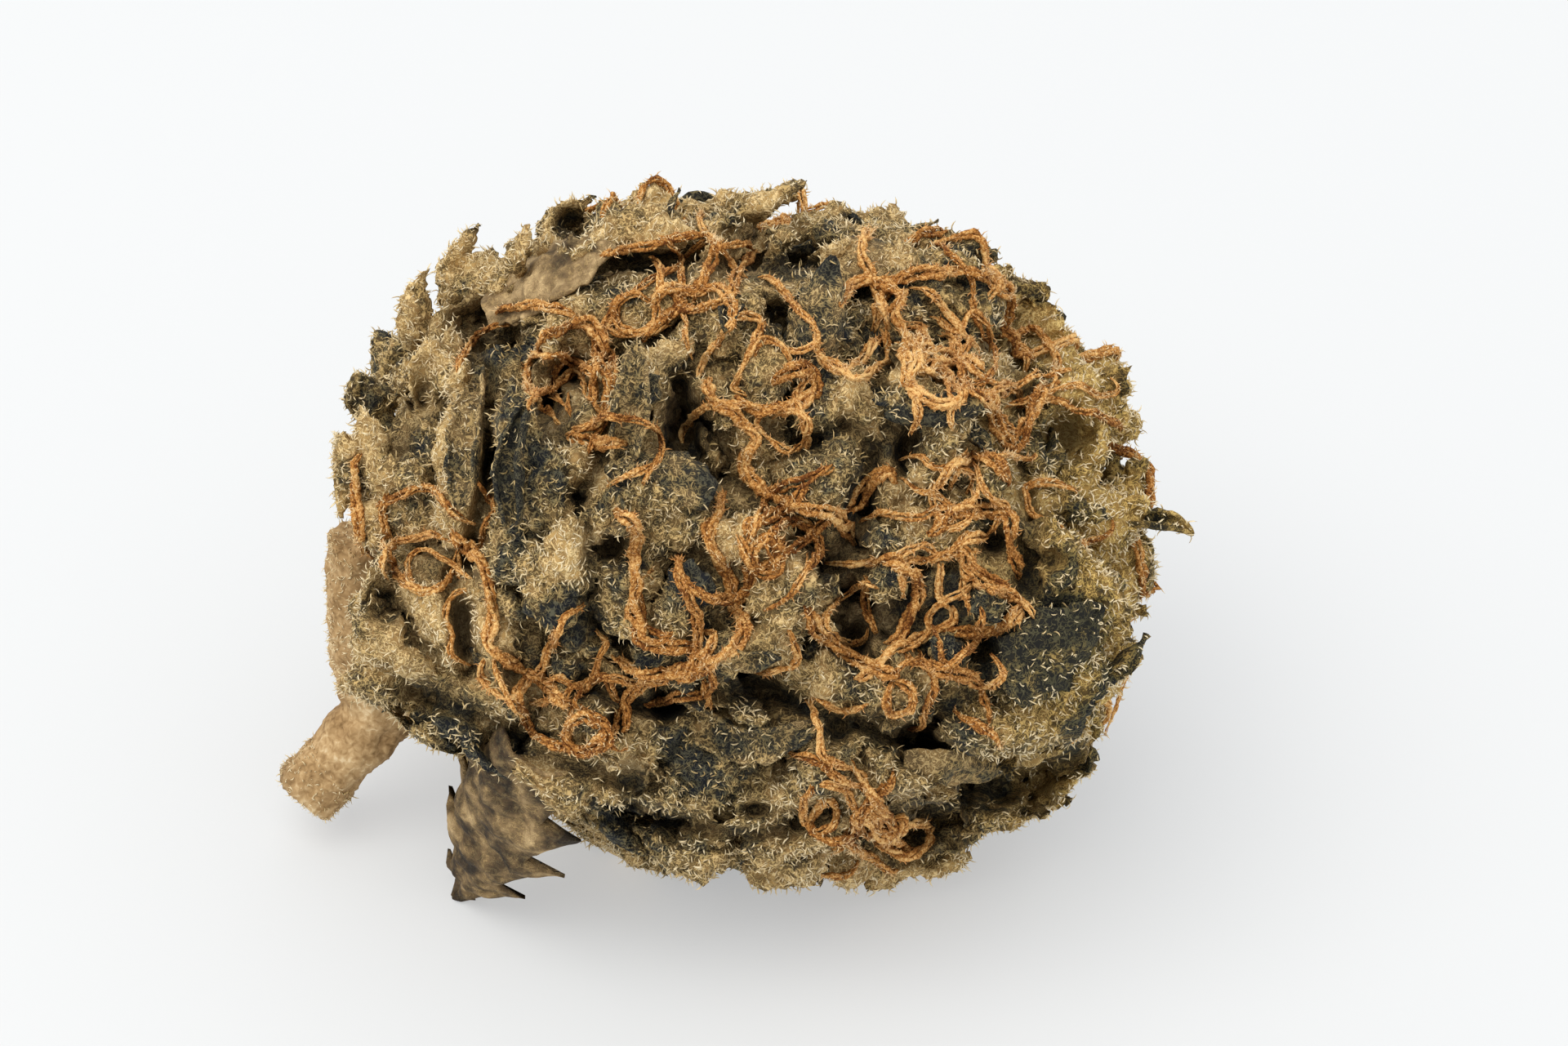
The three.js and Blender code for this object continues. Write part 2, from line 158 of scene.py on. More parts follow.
def roughen(piece: Piece, size: float, strength: float, depth: int = 2) -> None:
    """Pushes a piece's surface in and out along its normals by cloud noise.

    Args:
        piece: the object to change, still in millimetres.
        size: the noise's lump size in millimetres.
        strength: the full height of the relief in millimetres.
        depth: how many finer octaves are added.
    """
    texture = bpy.data.textures.new(f"relief_{size:g}", "CLOUDS")
    texture.noise_scale = size
    texture.noise_depth = depth
    apply_modifier(piece, "DISPLACE", texture=texture, strength=strength, mid_level=0.5, texture_coords="LOCAL")


def vertex_array(mesh: Mesh) -> Array:
    """Reads a mesh's vertices as an n by 3 array."""
    flat = np.empty(len(mesh.vertices) * 3, np.float32)
    mesh.vertices.foreach_get("co", flat)
    return flat.reshape(-1, 3).astype(float)


def triangle_array(mesh: Mesh) -> Array:
    """Reads a mesh's triangles as an n by 3 array of vertex numbers."""
    mesh.calc_loop_triangles()
    flat = np.empty(len(mesh.loop_triangles) * 3, np.int32)
    mesh.loop_triangles.foreach_get("vertices", flat)
    return flat.reshape(-1, 3)


def set_vertices(mesh: Mesh, points: Array) -> None:
    """Writes a mesh's vertices back from an n by 3 array."""
    mesh.vertices.foreach_set("co", points.astype(np.float32).ravel())
    mesh.update()


def set_attribute(mesh: Mesh, name: str, values: Array) -> None:
    """Stores one number for each vertex under a name that a material reads."""
    layer = mesh.attributes.get(name) or mesh.attributes.new(name, "FLOAT", "POINT")
    layer.data.foreach_set("value", np.asarray(values, np.float32))


def new_piece(name: str, points: Array, faces: Array) -> Piece:
    """Makes an object from vertices and faces that all have the same number of corners.

    Args:
        name: the piece's name.
        points: vertices, n by 3, in millimetres.
        faces: vertex numbers, m by corners.

    Returns:
        The new object, linked to the scene.
    """
    mesh = bpy.data.meshes.new(name)
    corners = faces.shape[1]
    mesh.vertices.add(len(points))
    mesh.vertices.foreach_set("co", np.asarray(points, np.float32).ravel())
    mesh.loops.add(faces.size)
    mesh.loops.foreach_set("vertex_index", np.asarray(faces, np.int32).ravel())
    mesh.polygons.add(len(faces))
    mesh.polygons.foreach_set("loop_start", np.arange(0, faces.size, corners, dtype=np.int32))
    mesh.update(calc_edges=True)
    mesh.validate()
    piece = bpy.data.objects.new(name, mesh)
    bpy.context.scene.collection.objects.link(piece)
    return piece


def turn_outwards(piece: Piece) -> None:
    """Makes every face of a closed piece point outwards.

    Args:
        piece: the object to change.
    """
    choose(piece)
    bpy.ops.object.mode_set(mode="EDIT")
    bpy.ops.mesh.select_all(action="SELECT")
    bpy.ops.mesh.normals_make_consistent(inside=False)
    bpy.ops.object.mode_set(mode="OBJECT")


def bare_copy(node: str, name: str) -> Piece:
    """Copies a CAD node in millimetres, with its corners merged.

    Args:
        node: the CAD node.
        name: the copy's name.

    Returns:
        The copy.
    """
    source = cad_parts[node]
    copy = new_piece(name, vertex_array(source.data) / MM, triangle_array(source.data))
    apply_modifier(copy, "WELD", merge_threshold=1e-3)
    return copy


def join(pieces: Sequence[Piece], name: str) -> Piece:
    """Joins several objects into one under a new name.

    Args:
        pieces: the objects, of which the first takes in the rest.
        name: the new name.

    Returns:
        The joined object.
    """
    choose(pieces[0])
    for piece in pieces:
        piece.select_set(True)
    if len(pieces) > 1:
        bpy.ops.object.join()
    joined = bpy.context.view_layer.objects.active
    joined.name = joined.data.name = name
    return joined


def finish_piece(piece: Piece, slot: str, material: Material, *nodes: str) -> None:
    """Scales a piece to metres, dresses it, and says what it moves with and stands for.

    Args:
        piece: the finished object, in millimetres, at the origin.
        slot: not used.
        material: the piece's finish.
        nodes: the CAD nodes that it stands for.
    """
    set_vertices(piece.data, vertex_array(piece.data) * MM)
    piece.data.materials.clear()
    piece.data.materials.append(material)
    piece.data.polygons.foreach_set("use_smooth", np.ones(len(piece.data.polygons), bool))
    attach(piece, BODY)
    if nodes:
        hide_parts(*nodes)
    log.info("%s: %d vertices", piece.name, len(piece.data.vertices))


@dataclass(frozen=True)
class Waiting:
    """A piece that is modelled but still in millimetres, so that others can be laid on it."""

    piece: Piece
    slot: str
    material: Material
    nodes: tuple[str, ...] = ()


BENCH: list[Waiting] = []  # what is finished at the end, in this order


# ---- Where things are ----


@dataclass(frozen=True)
class Viewer:
    """Where the bud is looked at from, and the places that a viewer sees."""

    tilt: float = 38.0  # degrees that the viewer looks down
    distance: float = 225.0  # from the eye to the core
    field: float = 49.15  # width of what is seen, at the core
    aim: Pair = (1.41, 0.37)  # what is in the middle of the view, across and up from the core
    sensor: float = 36.0

    @cached_property
    def core(self) -> Array:
        """The middle of the bract clusters."""
        corners = [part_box(name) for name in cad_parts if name.startswith("bract_cluster")]
        low = np.min([np.array(c[0]) for c in corners], axis=0)
        high = np.max([np.array(c[1]) for c in corners], axis=0)
        return (low + high) / 2 / MM

    @cached_property
    def up(self) -> Array:
        """Upwards as the viewer sees it."""
        turn = math.radians(self.tilt)
        return np.array([0.0, math.sin(turn), math.cos(turn)])

    @cached_property
    def out(self) -> Array:
        """From the core towards the viewer."""
        turn = math.radians(self.tilt)
        return np.array([0.0, -math.cos(turn), math.sin(turn)])

    @cached_property
    def eye(self) -> Array:
        """Where the viewer's eye is."""
        return self.place(*self.aim) + self.distance * self.out

    def place(self, across: float, up: float) -> Array:
        """The point across and up from the core, in the plane that faces the viewer."""
        return self.core + across * RIGHT + up * self.up


VIEW = Viewer()
CORE = VIEW.core


class Ground:
    """A surface that other pieces are laid on."""

    def __init__(self, pieces: Iterable[Piece]) -> None:
        """Gathers the triangles of some pieces.

        Args:
            pieces: objects whose meshes are in millimetres.
        """
        points, faces, owners, start = [], [], [], 0
        for number, piece in enumerate(pieces):
            points.append(vertex_array(piece.data))
            faces.append(triangle_array(piece.data) + start)
            owners.append(np.full(len(faces[-1]), number))
            start += len(points[-1])
        self.points = np.concatenate(points)
        self.owners = np.concatenate(owners)
        triangles = np.concatenate(faces).tolist()
        self.tree = BVHTree.FromPolygons(self.points.tolist(), triangles, all_triangles=True)

    def hit(self, origin: Array, direction: Array) -> Hit | None:
        """The first place that a ray meets.

        Args:
            origin: where the ray starts.
            direction: which way it goes.

        Returns:
            The point, the outward normal and the owner's number, or None.
        """
        spot, normal, index, _ = self.tree.ray_cast(Vector(origin), Vector(direction), FAR)
        if spot is None:
            return None
        return np.array(spot), np.array(normal), int(self.owners[index])

    def seen(self, across: float, up: float) -> Hit | None:
        """The place that the viewer sees across and up from the core."""
        return self.hit(VIEW.eye, unit(VIEW.place(across, up) - VIEW.eye))

    def outwards(self, direction: Array) -> Hit | None:
        """The outermost place in a direction from the core."""
        return self.hit(CORE + 60 * direction, -direction)


def spread_directions(count: int) -> Array:
    """Directions spread evenly over a sphere, as seeds are on a flower head.

    Args:
        count: how many.

    Returns:
        Unit directions, count by 3.
    """
    steps = np.arange(count) + 0.5
    height = 1 - 2 * steps / count
    turn = math.pi * (1 + math.sqrt(5)) * steps
    ring = np.sqrt(1 - height**2)
    return np.stack([height, ring * np.cos(turn), ring * np.sin(turn)], axis=1)


# ---- Finishes ----


def add_node(
    tree: Tree,
    kind: str,
    settings: dict[str, object] | None = None,
    inputs: dict[str | int, object] | None = None,
) -> bpy.types.Node:
    """Adds one node, sets its properties, and fills or links its inputs.

    Args:
        tree: the node tree.
        kind: the node's type, without ShaderNode.
        settings: properties of the node itself, with a colour ramp's hex colours by place under stops.
        inputs: for each input's name or number, a value or the output socket that feeds it.

    Returns:
        The new node.
    """
    node = tree.nodes.new(f"ShaderNode{kind}")
    for name, value in (settings or {}).items():
        if name == "stops":
            set_stops(node.color_ramp.elements, value)
        else:
            setattr(node, name, value)
    for key, value in (inputs or {}).items():
        socket = node.inputs[key]
        if isinstance(value, Socket):
            tree.links.new(value, socket)
        else:
            socket.default_value = value
    return node


def set_stops(elements: bpy.types.ColorRampElements, stops: dict[float, str]) -> None:
    """Sets a colour ramp's colours.

    Args:
        elements: the ramp's stops.
        stops: a hex colour for each place on the ramp.
    """
    while len(elements) < len(stops):
        elements.new(0.5)
    for element, (place, code) in zip(elements, sorted(stops.items())):
        element.position = place
        element.color = linear(code)


def per_mm(size: float) -> float:
    """The noise scale that gives lumps of a size in millimetres."""
    return 1 / (size * MM)


def start_material(name: str) -> tuple[Material, Tree, bpy.types.Node]:
    """Makes a material with one principled shader.

    Args:
        name: the material's name.

    Returns:
        The material, its tree and its shader.
    """
    material = bpy.data.materials.new(name)
    material.use_nodes = True
    tree = material.node_tree
    return material, tree, tree.nodes["Principled BSDF"]


def end_material(
    tree: Tree, shader: bpy.types.Node, colour: Socket, roughness: float, gloss: float, relief: Pair | None = None,
    height: Socket | None = None,
) -> None:
    """Feeds a shader its colour and relief, and sets how rough and glossy it is.

    Args:
        tree: the node tree.
        shader: the principled shader.
        colour: what feeds its colour.
        roughness: from 0 to 1.
        gloss: the specular level.
        relief: the relief's strength, and its height in millimetres.
        height: what gives the relief.
    """
    if relief:
        inputs = {"Height": height, "Strength": relief[0], "Distance": relief[1] * MM}
        tree.links.new(add_node(tree, "Bump", inputs=inputs).outputs[0], shader.inputs["Normal"])
    tree.links.new(colour, shader.inputs["Base Color"])
    shader.inputs["Roughness"].default_value = roughness
    shader.inputs["Specular IOR Level"].default_value = gloss


class Hue(Enum):
    """The colours of dried tissue, from the darkest to the palest."""

    BRACT = {0.0: "#101318", 0.12: "#211f18", 0.4: "#493a20", 0.62: "#6f5a34", 0.82: "#937445", 1.0: "#b3925a"}
    LEAF = {0.0: "#141412", 0.25: "#24221b", 0.5: "#423824", 0.75: "#6a5636", 1.0: "#987b4c"}
    BROWN = {0.0: "#2b2014", 0.3: "#54422b", 0.6: "#836b48", 1.0: "#bfa274"}
    FUZZ = {0.0: "#8b8668", 0.25: "#ad9a68", 0.6: "#d3b274", 1.0: "#efd39a"}
    BARK = {0.0: "#775b37", 0.45: "#a5855a", 0.8: "#c0a174", 1.0: "#d5bd94"}


@dataclass(frozen=True)
class DriedTissue:
    """Dried bract and leaf skin, matt and crumpled, under a bloom of resin hairs too fine to model.

    The eye sees dark olive to tan skin, blue-black where the chlorophyll stays, covered with pale curled
    strokes, and rough all over, with no clear highlight. It is yellower towards the bud's tip, and painted shade
    darkens it towards near-black in its hollows and gaps.
    """

    name: str
    hue: Hue
    dust: float = 0.85  # how much of the skin's colour a stroke hides
    roughness: float = 0.82
    patch: float = 1.3  # size of the colour patches, mm
    curls: Pair = (0.3, 0.19)  # size of the wide and the fine curls of fuzz, mm
    breadth: Pair = (0.05, 0.055)  # how wide their strokes are, as a share of the noise
    yellow: str = "#f6f0bc"
    yellow_from: Pair = (6.0, 11.0)  # where along the bud the yellow starts and is full, mm
    # near-black colour of the painted shade in hollows and gaps
    gap: str = "#17130d"

    def material(self) -> Material:
        """Builds the node tree.

        Returns:
            The finish, which reads the age attribute and the attribute that holds its painted shade.
        """
        material, tree, shader = start_material(self.name)
        place = add_node(tree, "TexCoord").outputs["Object"]
        age = add_node(tree, "Attribute", {"attribute_name": "age"}).outputs["Fac"]
        painted_shade_and_cut_dark = add_node(tree, "Attribute", {"attribute_name": "painted_shade_and_cut_dark"}).outputs["Fac"]
        wide = self.patches(tree, place, self.patch, 5.0, 0.3, 0.42)
        fine = self.patches(tree, place, 0.3 * self.patch, 3.0, 0.35, 0.2)
        lift = add_node(tree, "Math", {"operation": "ADD"}, {0: wide, 1: fine}).outputs[0]
        tone = add_node(tree, "Math", {"operation": "ADD", "use_clamp": True}, {0: age, 1: lift}).outputs[0]
        skin = add_node(tree, "ValToRGB", {"stops": self.hue.value}, {0: tone}).outputs[0]
        fuzz = add_node(tree, "ValToRGB", {"stops": Hue.FUZZ.value}, {0: tone}).outputs[0]
        strokes = [self.strokes(tree, place, size, breadth) for size, breadth in zip(self.curls, self.breadth)]
        curl = add_node(tree, "Math", {"operation": "MAXIMUM"}, {0: strokes[0], 1: strokes[1]}).outputs[0]
        thick = {0: tone, 1: 0.05, 2: 0.5, 3: 0.4 * self.dust, 4: self.dust}
        cover = add_node(tree, "MapRange", inputs=thick).outputs[0]
        cover = add_node(tree, "Math", {"operation": "MULTIPLY"}, {0: curl, 1: cover}).outputs[0]
        dusted = add_node(tree, "Mix", {"data_type": "RGBA"}, {0: cover, 6: skin, 7: fuzz}).outputs[2]
        along = add_node(tree, "SeparateXYZ", inputs={0: place}).outputs[0]
        start, full = (limit * MM for limit in self.yellow_from)
        east = add_node(tree, "MapRange", inputs={0: along, 1: start, 2: full, 3: 0.0, 4: 0.7}).outputs[0]
        tint = {0: east, 6: dusted, 7: linear(self.yellow)}
        tinted = add_node(tree, "Mix", {"data_type": "RGBA", "blend_type": "MULTIPLY"}, tint).outputs[2]
        # painted shade: the more the attribute says, the more of the near-black gap colour is mixed in
        shade = add_node(tree, "MapRange", inputs={0: painted_shade_and_cut_dark, 1: 0.0, 2: 1.0, 3: 0.0, 4: 0.86}).outputs[0]
        dark = {0: shade, 6: tinted, 7: linear(self.gap)}
        colour = add_node(tree, "Mix", {"data_type": "RGBA"}, dark).outputs[2]
        end_material(tree, shader, colour, self.roughness, 0.3, (0.7, 0.06), curl)
        return material

    @staticmethod
    def patches(tree: Tree, place: Socket, size: float, detail: float, low: float, swing: float) -> Socket:
        """Draws soft patches that are older or younger than the rest.

        Args:
            tree: the node tree.
            place: where on the piece.
            size: the patches' size in millimetres.
            detail: how many finer layers they have.
            low: the noise that gives the darkest patch.
            swing: how far the patches change the age.

        Returns:
            What is added to the age.
        """
        inputs = {"Vector": place, "Scale": per_mm(size), "Detail": detail}
        lumps = add_node(tree, "TexNoise", inputs=inputs).outputs["Fac"]
        return add_node(tree, "MapRange", inputs={0: lumps, 1: low, 2: 1 - low, 3: -swing, 4: swing}).outputs[0]

    @staticmethod
    def strokes(tree: Tree, place: Socket, size: float, breadth: float) -> Socket:
        """Draws curled strokes along the lines where a noise field crosses its middle value.

        Args:
            tree: the node tree.
            place: where on the piece.
            size: the curls' size in millimetres.
            breadth: how wide the strokes are, as a share of the noise.

        Returns:
            1 on a stroke and 0 off it.
        """
        inputs = {"Vector": place, "Scale": per_mm(size), "Detail": 1.0, "Distortion": 0.9}
        lumps = add_node(tree, "TexNoise", inputs=inputs).outputs["Fac"]
        off = add_node(tree, "Math", {"operation": "SUBTRACT"}, {0: lumps, 1: 0.5}).outputs[0]
        near = add_node(tree, "Math", {"operation": "ABSOLUTE"}, {0: off}).outputs[0]
        inputs = {0: near, 1: 0.3 * breadth, 2: breadth, 3: 1.0, 4: 0.0}
        return add_node(tree, "MapRange", inputs=inputs).outputs[0]


@dataclass(frozen=True)
class DryStigma:
    """Dried pistil: a shrunken, fibrous orange thread, red-brown to pale orange, with no gloss. Painted shade darkens
    its furrows and painted highlight lightens its crests.
    """

    name: str = "dry_stigma"
    # the dark end: the older red-brown tone, and the painted shade in the furrows
    red_brown_and_furrow_shade: str = "#643815"
    middle: str = "#b97e3c"
    # the pale end: the paler orange tone, and the painted highlight on the crests
    pale_and_crest_highlight: str = "#ecc07c"
    fibre: float = 0.085  # width of a fibre, mm
    stretch: float = 1.1  # length of a pale or dark stretch, mm

    def material(self) -> Material:
        """Builds the node tree.

        Returns:
            The finish, which reads the age attribute.
        """
        material, tree, shader = start_material(self.name)
        place = add_node(tree, "TexCoord").outputs["Object"]
        age = add_node(tree, "Attribute", {"attribute_name": "age"}).outputs["Fac"]
        inputs = {"Vector": place, "Scale": per_mm(self.fibre), "Detail": 3.0, "Distortion": 0.8}
        fibre = add_node(tree, "TexNoise", inputs=inputs).outputs["Fac"]
        inputs = {"Vector": place, "Scale": per_mm(self.stretch), "Detail": 2.0}
        along = add_node(tree, "TexNoise", inputs=inputs).outputs["Fac"]
        # the fibre noise is also the bump's height: its low furrows get painted shade and its high crests painted
        # highlight
        wide = add_node(tree, "MapRange", inputs={0: fibre, 1: 0.35, 2: 0.65, 3: -0.42, 4: 0.42}).outputs[0]
        slow = add_node(tree, "MapRange", inputs={0: along, 1: 0.3, 2: 0.7, 3: -0.22, 4: 0.22}).outputs[0]
        both = add_node(tree, "Math", {"operation": "ADD"}, {0: wide, 1: slow}).outputs[0]
        tone = add_node(tree, "Math", {"operation": "ADD", "use_clamp": True}, {0: age, 1: both}).outputs[0]
        stops = {0.0: self.red_brown_and_furrow_shade, 0.5: self.middle, 1.0: self.pale_and_crest_highlight}
        colour = add_node(tree, "ValToRGB", {"stops": stops}, {0: tone}).outputs[0]
        end_material(tree, shader, colour, 0.9, 0.2, (0.9, 0.06), fibre)
        return material


@dataclass(frozen=True)
class DryBark:
    """Dried green bark on the cut stem: tan, finely fibrous and slightly fuzzy, matt."""

    name: str = "dry_bark"
    cut: str = "#4a3722"
    fibre: float = 0.2  # mm
    patch: float = 1.6  # mm

    def material(self) -> Material:
        """Builds the node tree.

        Returns:
            The finish, which reads the attribute that makes it darker towards the cut end.
        """
        material, tree, shader = start_material(self.name)
        place = add_node(tree, "TexCoord").outputs["Object"]
        painted_shade_and_cut_dark = add_node(tree, "Attribute", {"attribute_name": "painted_shade_and_cut_dark"}).outputs["Fac"]
        inputs = {"Vector": place, "Scale": per_mm(self.fibre), "Detail": 4.0, "Distortion": 0.6}
        fibre = add_node(tree, "TexNoise", inputs=inputs).outputs["Fac"]
        inputs = {"Vector": place, "Scale": per_mm(self.patch), "Detail": 3.0}
        patches = add_node(tree, "TexNoise", inputs=inputs).outputs["Fac"]
        tone = add_node(tree, "Math", {"operation": "ADD"}, {0: fibre, 1: patches}).outputs[0]
        spread = add_node(tree, "MapRange", inputs={0: tone, 1: 0.7, 2: 1.3}).outputs[0]
        skin = add_node(tree, "ValToRGB", {"stops": Hue.BARK.value}, {0: spread}).outputs[0]
        # darker towards the cut end
        cut = {0: painted_shade_and_cut_dark, 6: skin, 7: linear(self.cut)}
        colour = add_node(tree, "Mix", {"data_type": "RGBA"}, cut).outputs[2]
        end_material(tree, shader, colour, 0.85, 0.25, (0.5, 0.06), fibre)
        return material


@dataclass(frozen=True)
class ResinHair:
    """Dried resin hairs: short waxy threads, amber and darker at the root and pale at the tip.

    The eye sees a pale, softly shining bloom. Each hair has its own UV island: u is its tone and v runs
    along it.
    """

    name: str
    root: str
    tip: str
    dark: str

    def material(self) -> Material:
        """Builds the node tree.

        Returns:
            The finish, which reads the hairs' chart.
        """
        material, tree, shader = start_material(self.name)
        chart = add_node(tree, "UVMap", {"uv_map": HAIR_CHART}).outputs["UV"]
        parts = add_node(tree, "SeparateXYZ", inputs={0: chart})
        stops = {0.0: self.dark, 0.45: self.root, 1.0: self.tip}
        tone = add_node(tree, "ValToRGB", {"stops": stops}, {0: parts.outputs[0]}).outputs[0]
        foot = {0: parts.outputs[1], 1: 0.0, 2: 0.6, 3: 0.45, 4: 0.0}
        along = add_node(tree, "MapRange", inputs=foot).outputs[0]
        dark = {0: along, 6: tone, 7: linear(self.dark)}
        colour = add_node(tree, "Mix", {"data_type": "RGBA"}, dark).outputs[2]
        end_material(tree, shader, colour, 0.5, 0.4)
        return material


@dataclass(frozen=True)
class PaleSweep:
    """A plain, nearly white, matt sheet that a lamp below lights through a little, so that shadows stay pale."""

    name: str = "pale_sweep"
    colour: str = "#a7a9a9"
    fleck: str = "#9fa1a2"
    light: str = "#fdfeff"
    glow: float = 0.4
    tooth: float = 4.0  # size of the sheet's faint mottle, mm

    def material(self) -> Material:
        """Builds the node tree.

        Returns:
            The finish.
        """
        material, tree, shader = start_material(self.name)
        place = add_node(tree, "TexCoord").outputs["Object"]
        inputs = {"Vector": place, "Scale": per_mm(self.tooth), "Detail": 2.0}
        tooth = add_node(tree, "TexNoise", inputs=inputs).outputs["Fac"]
        tone = add_node(tree, "MapRange", inputs={0: tooth, 3: 0.0, 4: 0.02}).outputs[0]
        fleck = {0: tone, 6: linear(self.colour), 7: linear(self.fleck)}
        colour = add_node(tree, "Mix", {"data_type": "RGBA"}, fleck).outputs[2]
        end_material(tree, shader, colour, 0.9, 0.5)
        shader.inputs["Emission Color"].default_value = linear(self.light)
        shader.inputs["Emission Strength"].default_value = self.glow
        return material


# ---- Bracts and their clusters ----


@dataclass(frozen=True)
class Bract:
    """One small bract: a pointed, slightly bent drop of tissue that stands out of a cluster.

    Its place and heading are as the viewer sees them, and 0 for a bract that doesn't show.
    """

    across: float
    up: float
    heading: float  # where its tip points, in degrees round from the right
    length: float
    width: float
    age: float  # 0 is blue-black, 1 is pale tan
    rise: float = 40.0  # degrees that its tip stands off the surface
    lift: float = 0.4


@dataclass(frozen=True)
class Hollow:
    """A ragged hole between bracts, dented into the skin and darkened with painted shade."""

    across: float
    up: float
    radius: float
    depth: float
    tall: float = 1.0  # how much taller than wide

    def weight(self, points: Array) -> Array:
        """How much the hole is felt at each point, from 0 to 1.

        Args:
            points: places in millimetres.

        Returns:
            One share for each point.
        """
        seen_across, seen_up = seen_at(points)
        across = (seen_across - self.across) / self.radius
        up = (seen_up - self.up) / (self.radius * self.tall)
        near, felt = facing_near(points, np.hypot(across, up) < 4)
        ragged = 1 + 0.5 * grain(points[near], 0.7, 47)
        felt[near] *= np.exp(-((np.hypot(across, up)[near] * ragged) ** 3))
        return felt


@dataclass(frozen=True)
class Groove:
    """A gap that runs between clumps of bracts, dented into the skin and darkened with painted shade."""

    path: tuple[Pair, ...]
    width: float
    depth: float

    def weight(self, points: Array) -> Array:
        """How much the gap is felt at each point, from 0 to 1.

        Args:
            points: places in millimetres.

        Returns:
            One share for each point.
        """
        line = smooth_path(np.array(self.path, float), 0.25)
        seen = np.stack(seen_at(points), axis=1)
        reach = 5 * self.width
        inside = ((seen > line.min(axis=0) - reach) & (seen < line.max(axis=0) + reach)).all(axis=1)
        near, felt = facing_near(points, inside)
        away = np.full(len(near), 9.0)
        for place in line:
            away = np.minimum(away, np.hypot(*(seen[near] - place).T))
        ragged = 1 + 0.55 * grain(points[near], 0.8, 53)
        felt[near] *= np.exp(-((away / self.width * ragged) ** 2))
        return felt


Gap = Hollow | Groove


def facing_near(points: Array, inside: Array) -> tuple[Array, Array]:
    """Picks the points that a gap can reach on the side that shows.

    Args:
        points: places in millimetres.
        inside: true where a point is within the gap's reach.

    Returns:
        The indices of the picked points, and for every point a share from 0 to 1.
    """
    felt = np.clip(((points - CORE) @ VIEW.out + 1.5) / 2, 0, 1) * inside
    return np.flatnonzero(felt > 0), felt


def bract_template() -> tuple[Array, Array]:
    """Models one bract, a unit long from its root to its tip along +Z, by pulling out a sphere's pole.

    Returns:
        Its vertices and its faces.
    """
    deselect_all()
    bpy.ops.mesh.primitive_uv_sphere_add(segments=12, ring_count=9, radius=0.5, location=(0, 0, 0.5))
    drop = bpy.context.active_object
    bpy.ops.object.transform_apply(location=True, rotation=True, scale=True)
    points = vertex_array(drop.data)
    high = np.clip(points[:, 2], 0, 1)
    slim = 1 - 0.55 * high**1.6
    points[:, :2] *= slim[:, None]
    points[:, 1] *= 0.8
    points[:, 1] += 0.22 * high**2  # the tip leans over
    points[:, 0] *= 1 + 0.12 * np.cos(3 * np.arctan2(points[:, 1], points[:, 0]))
    faces = triangle_array(drop.data)
    bpy.data.objects.remove(drop)
    return points, faces


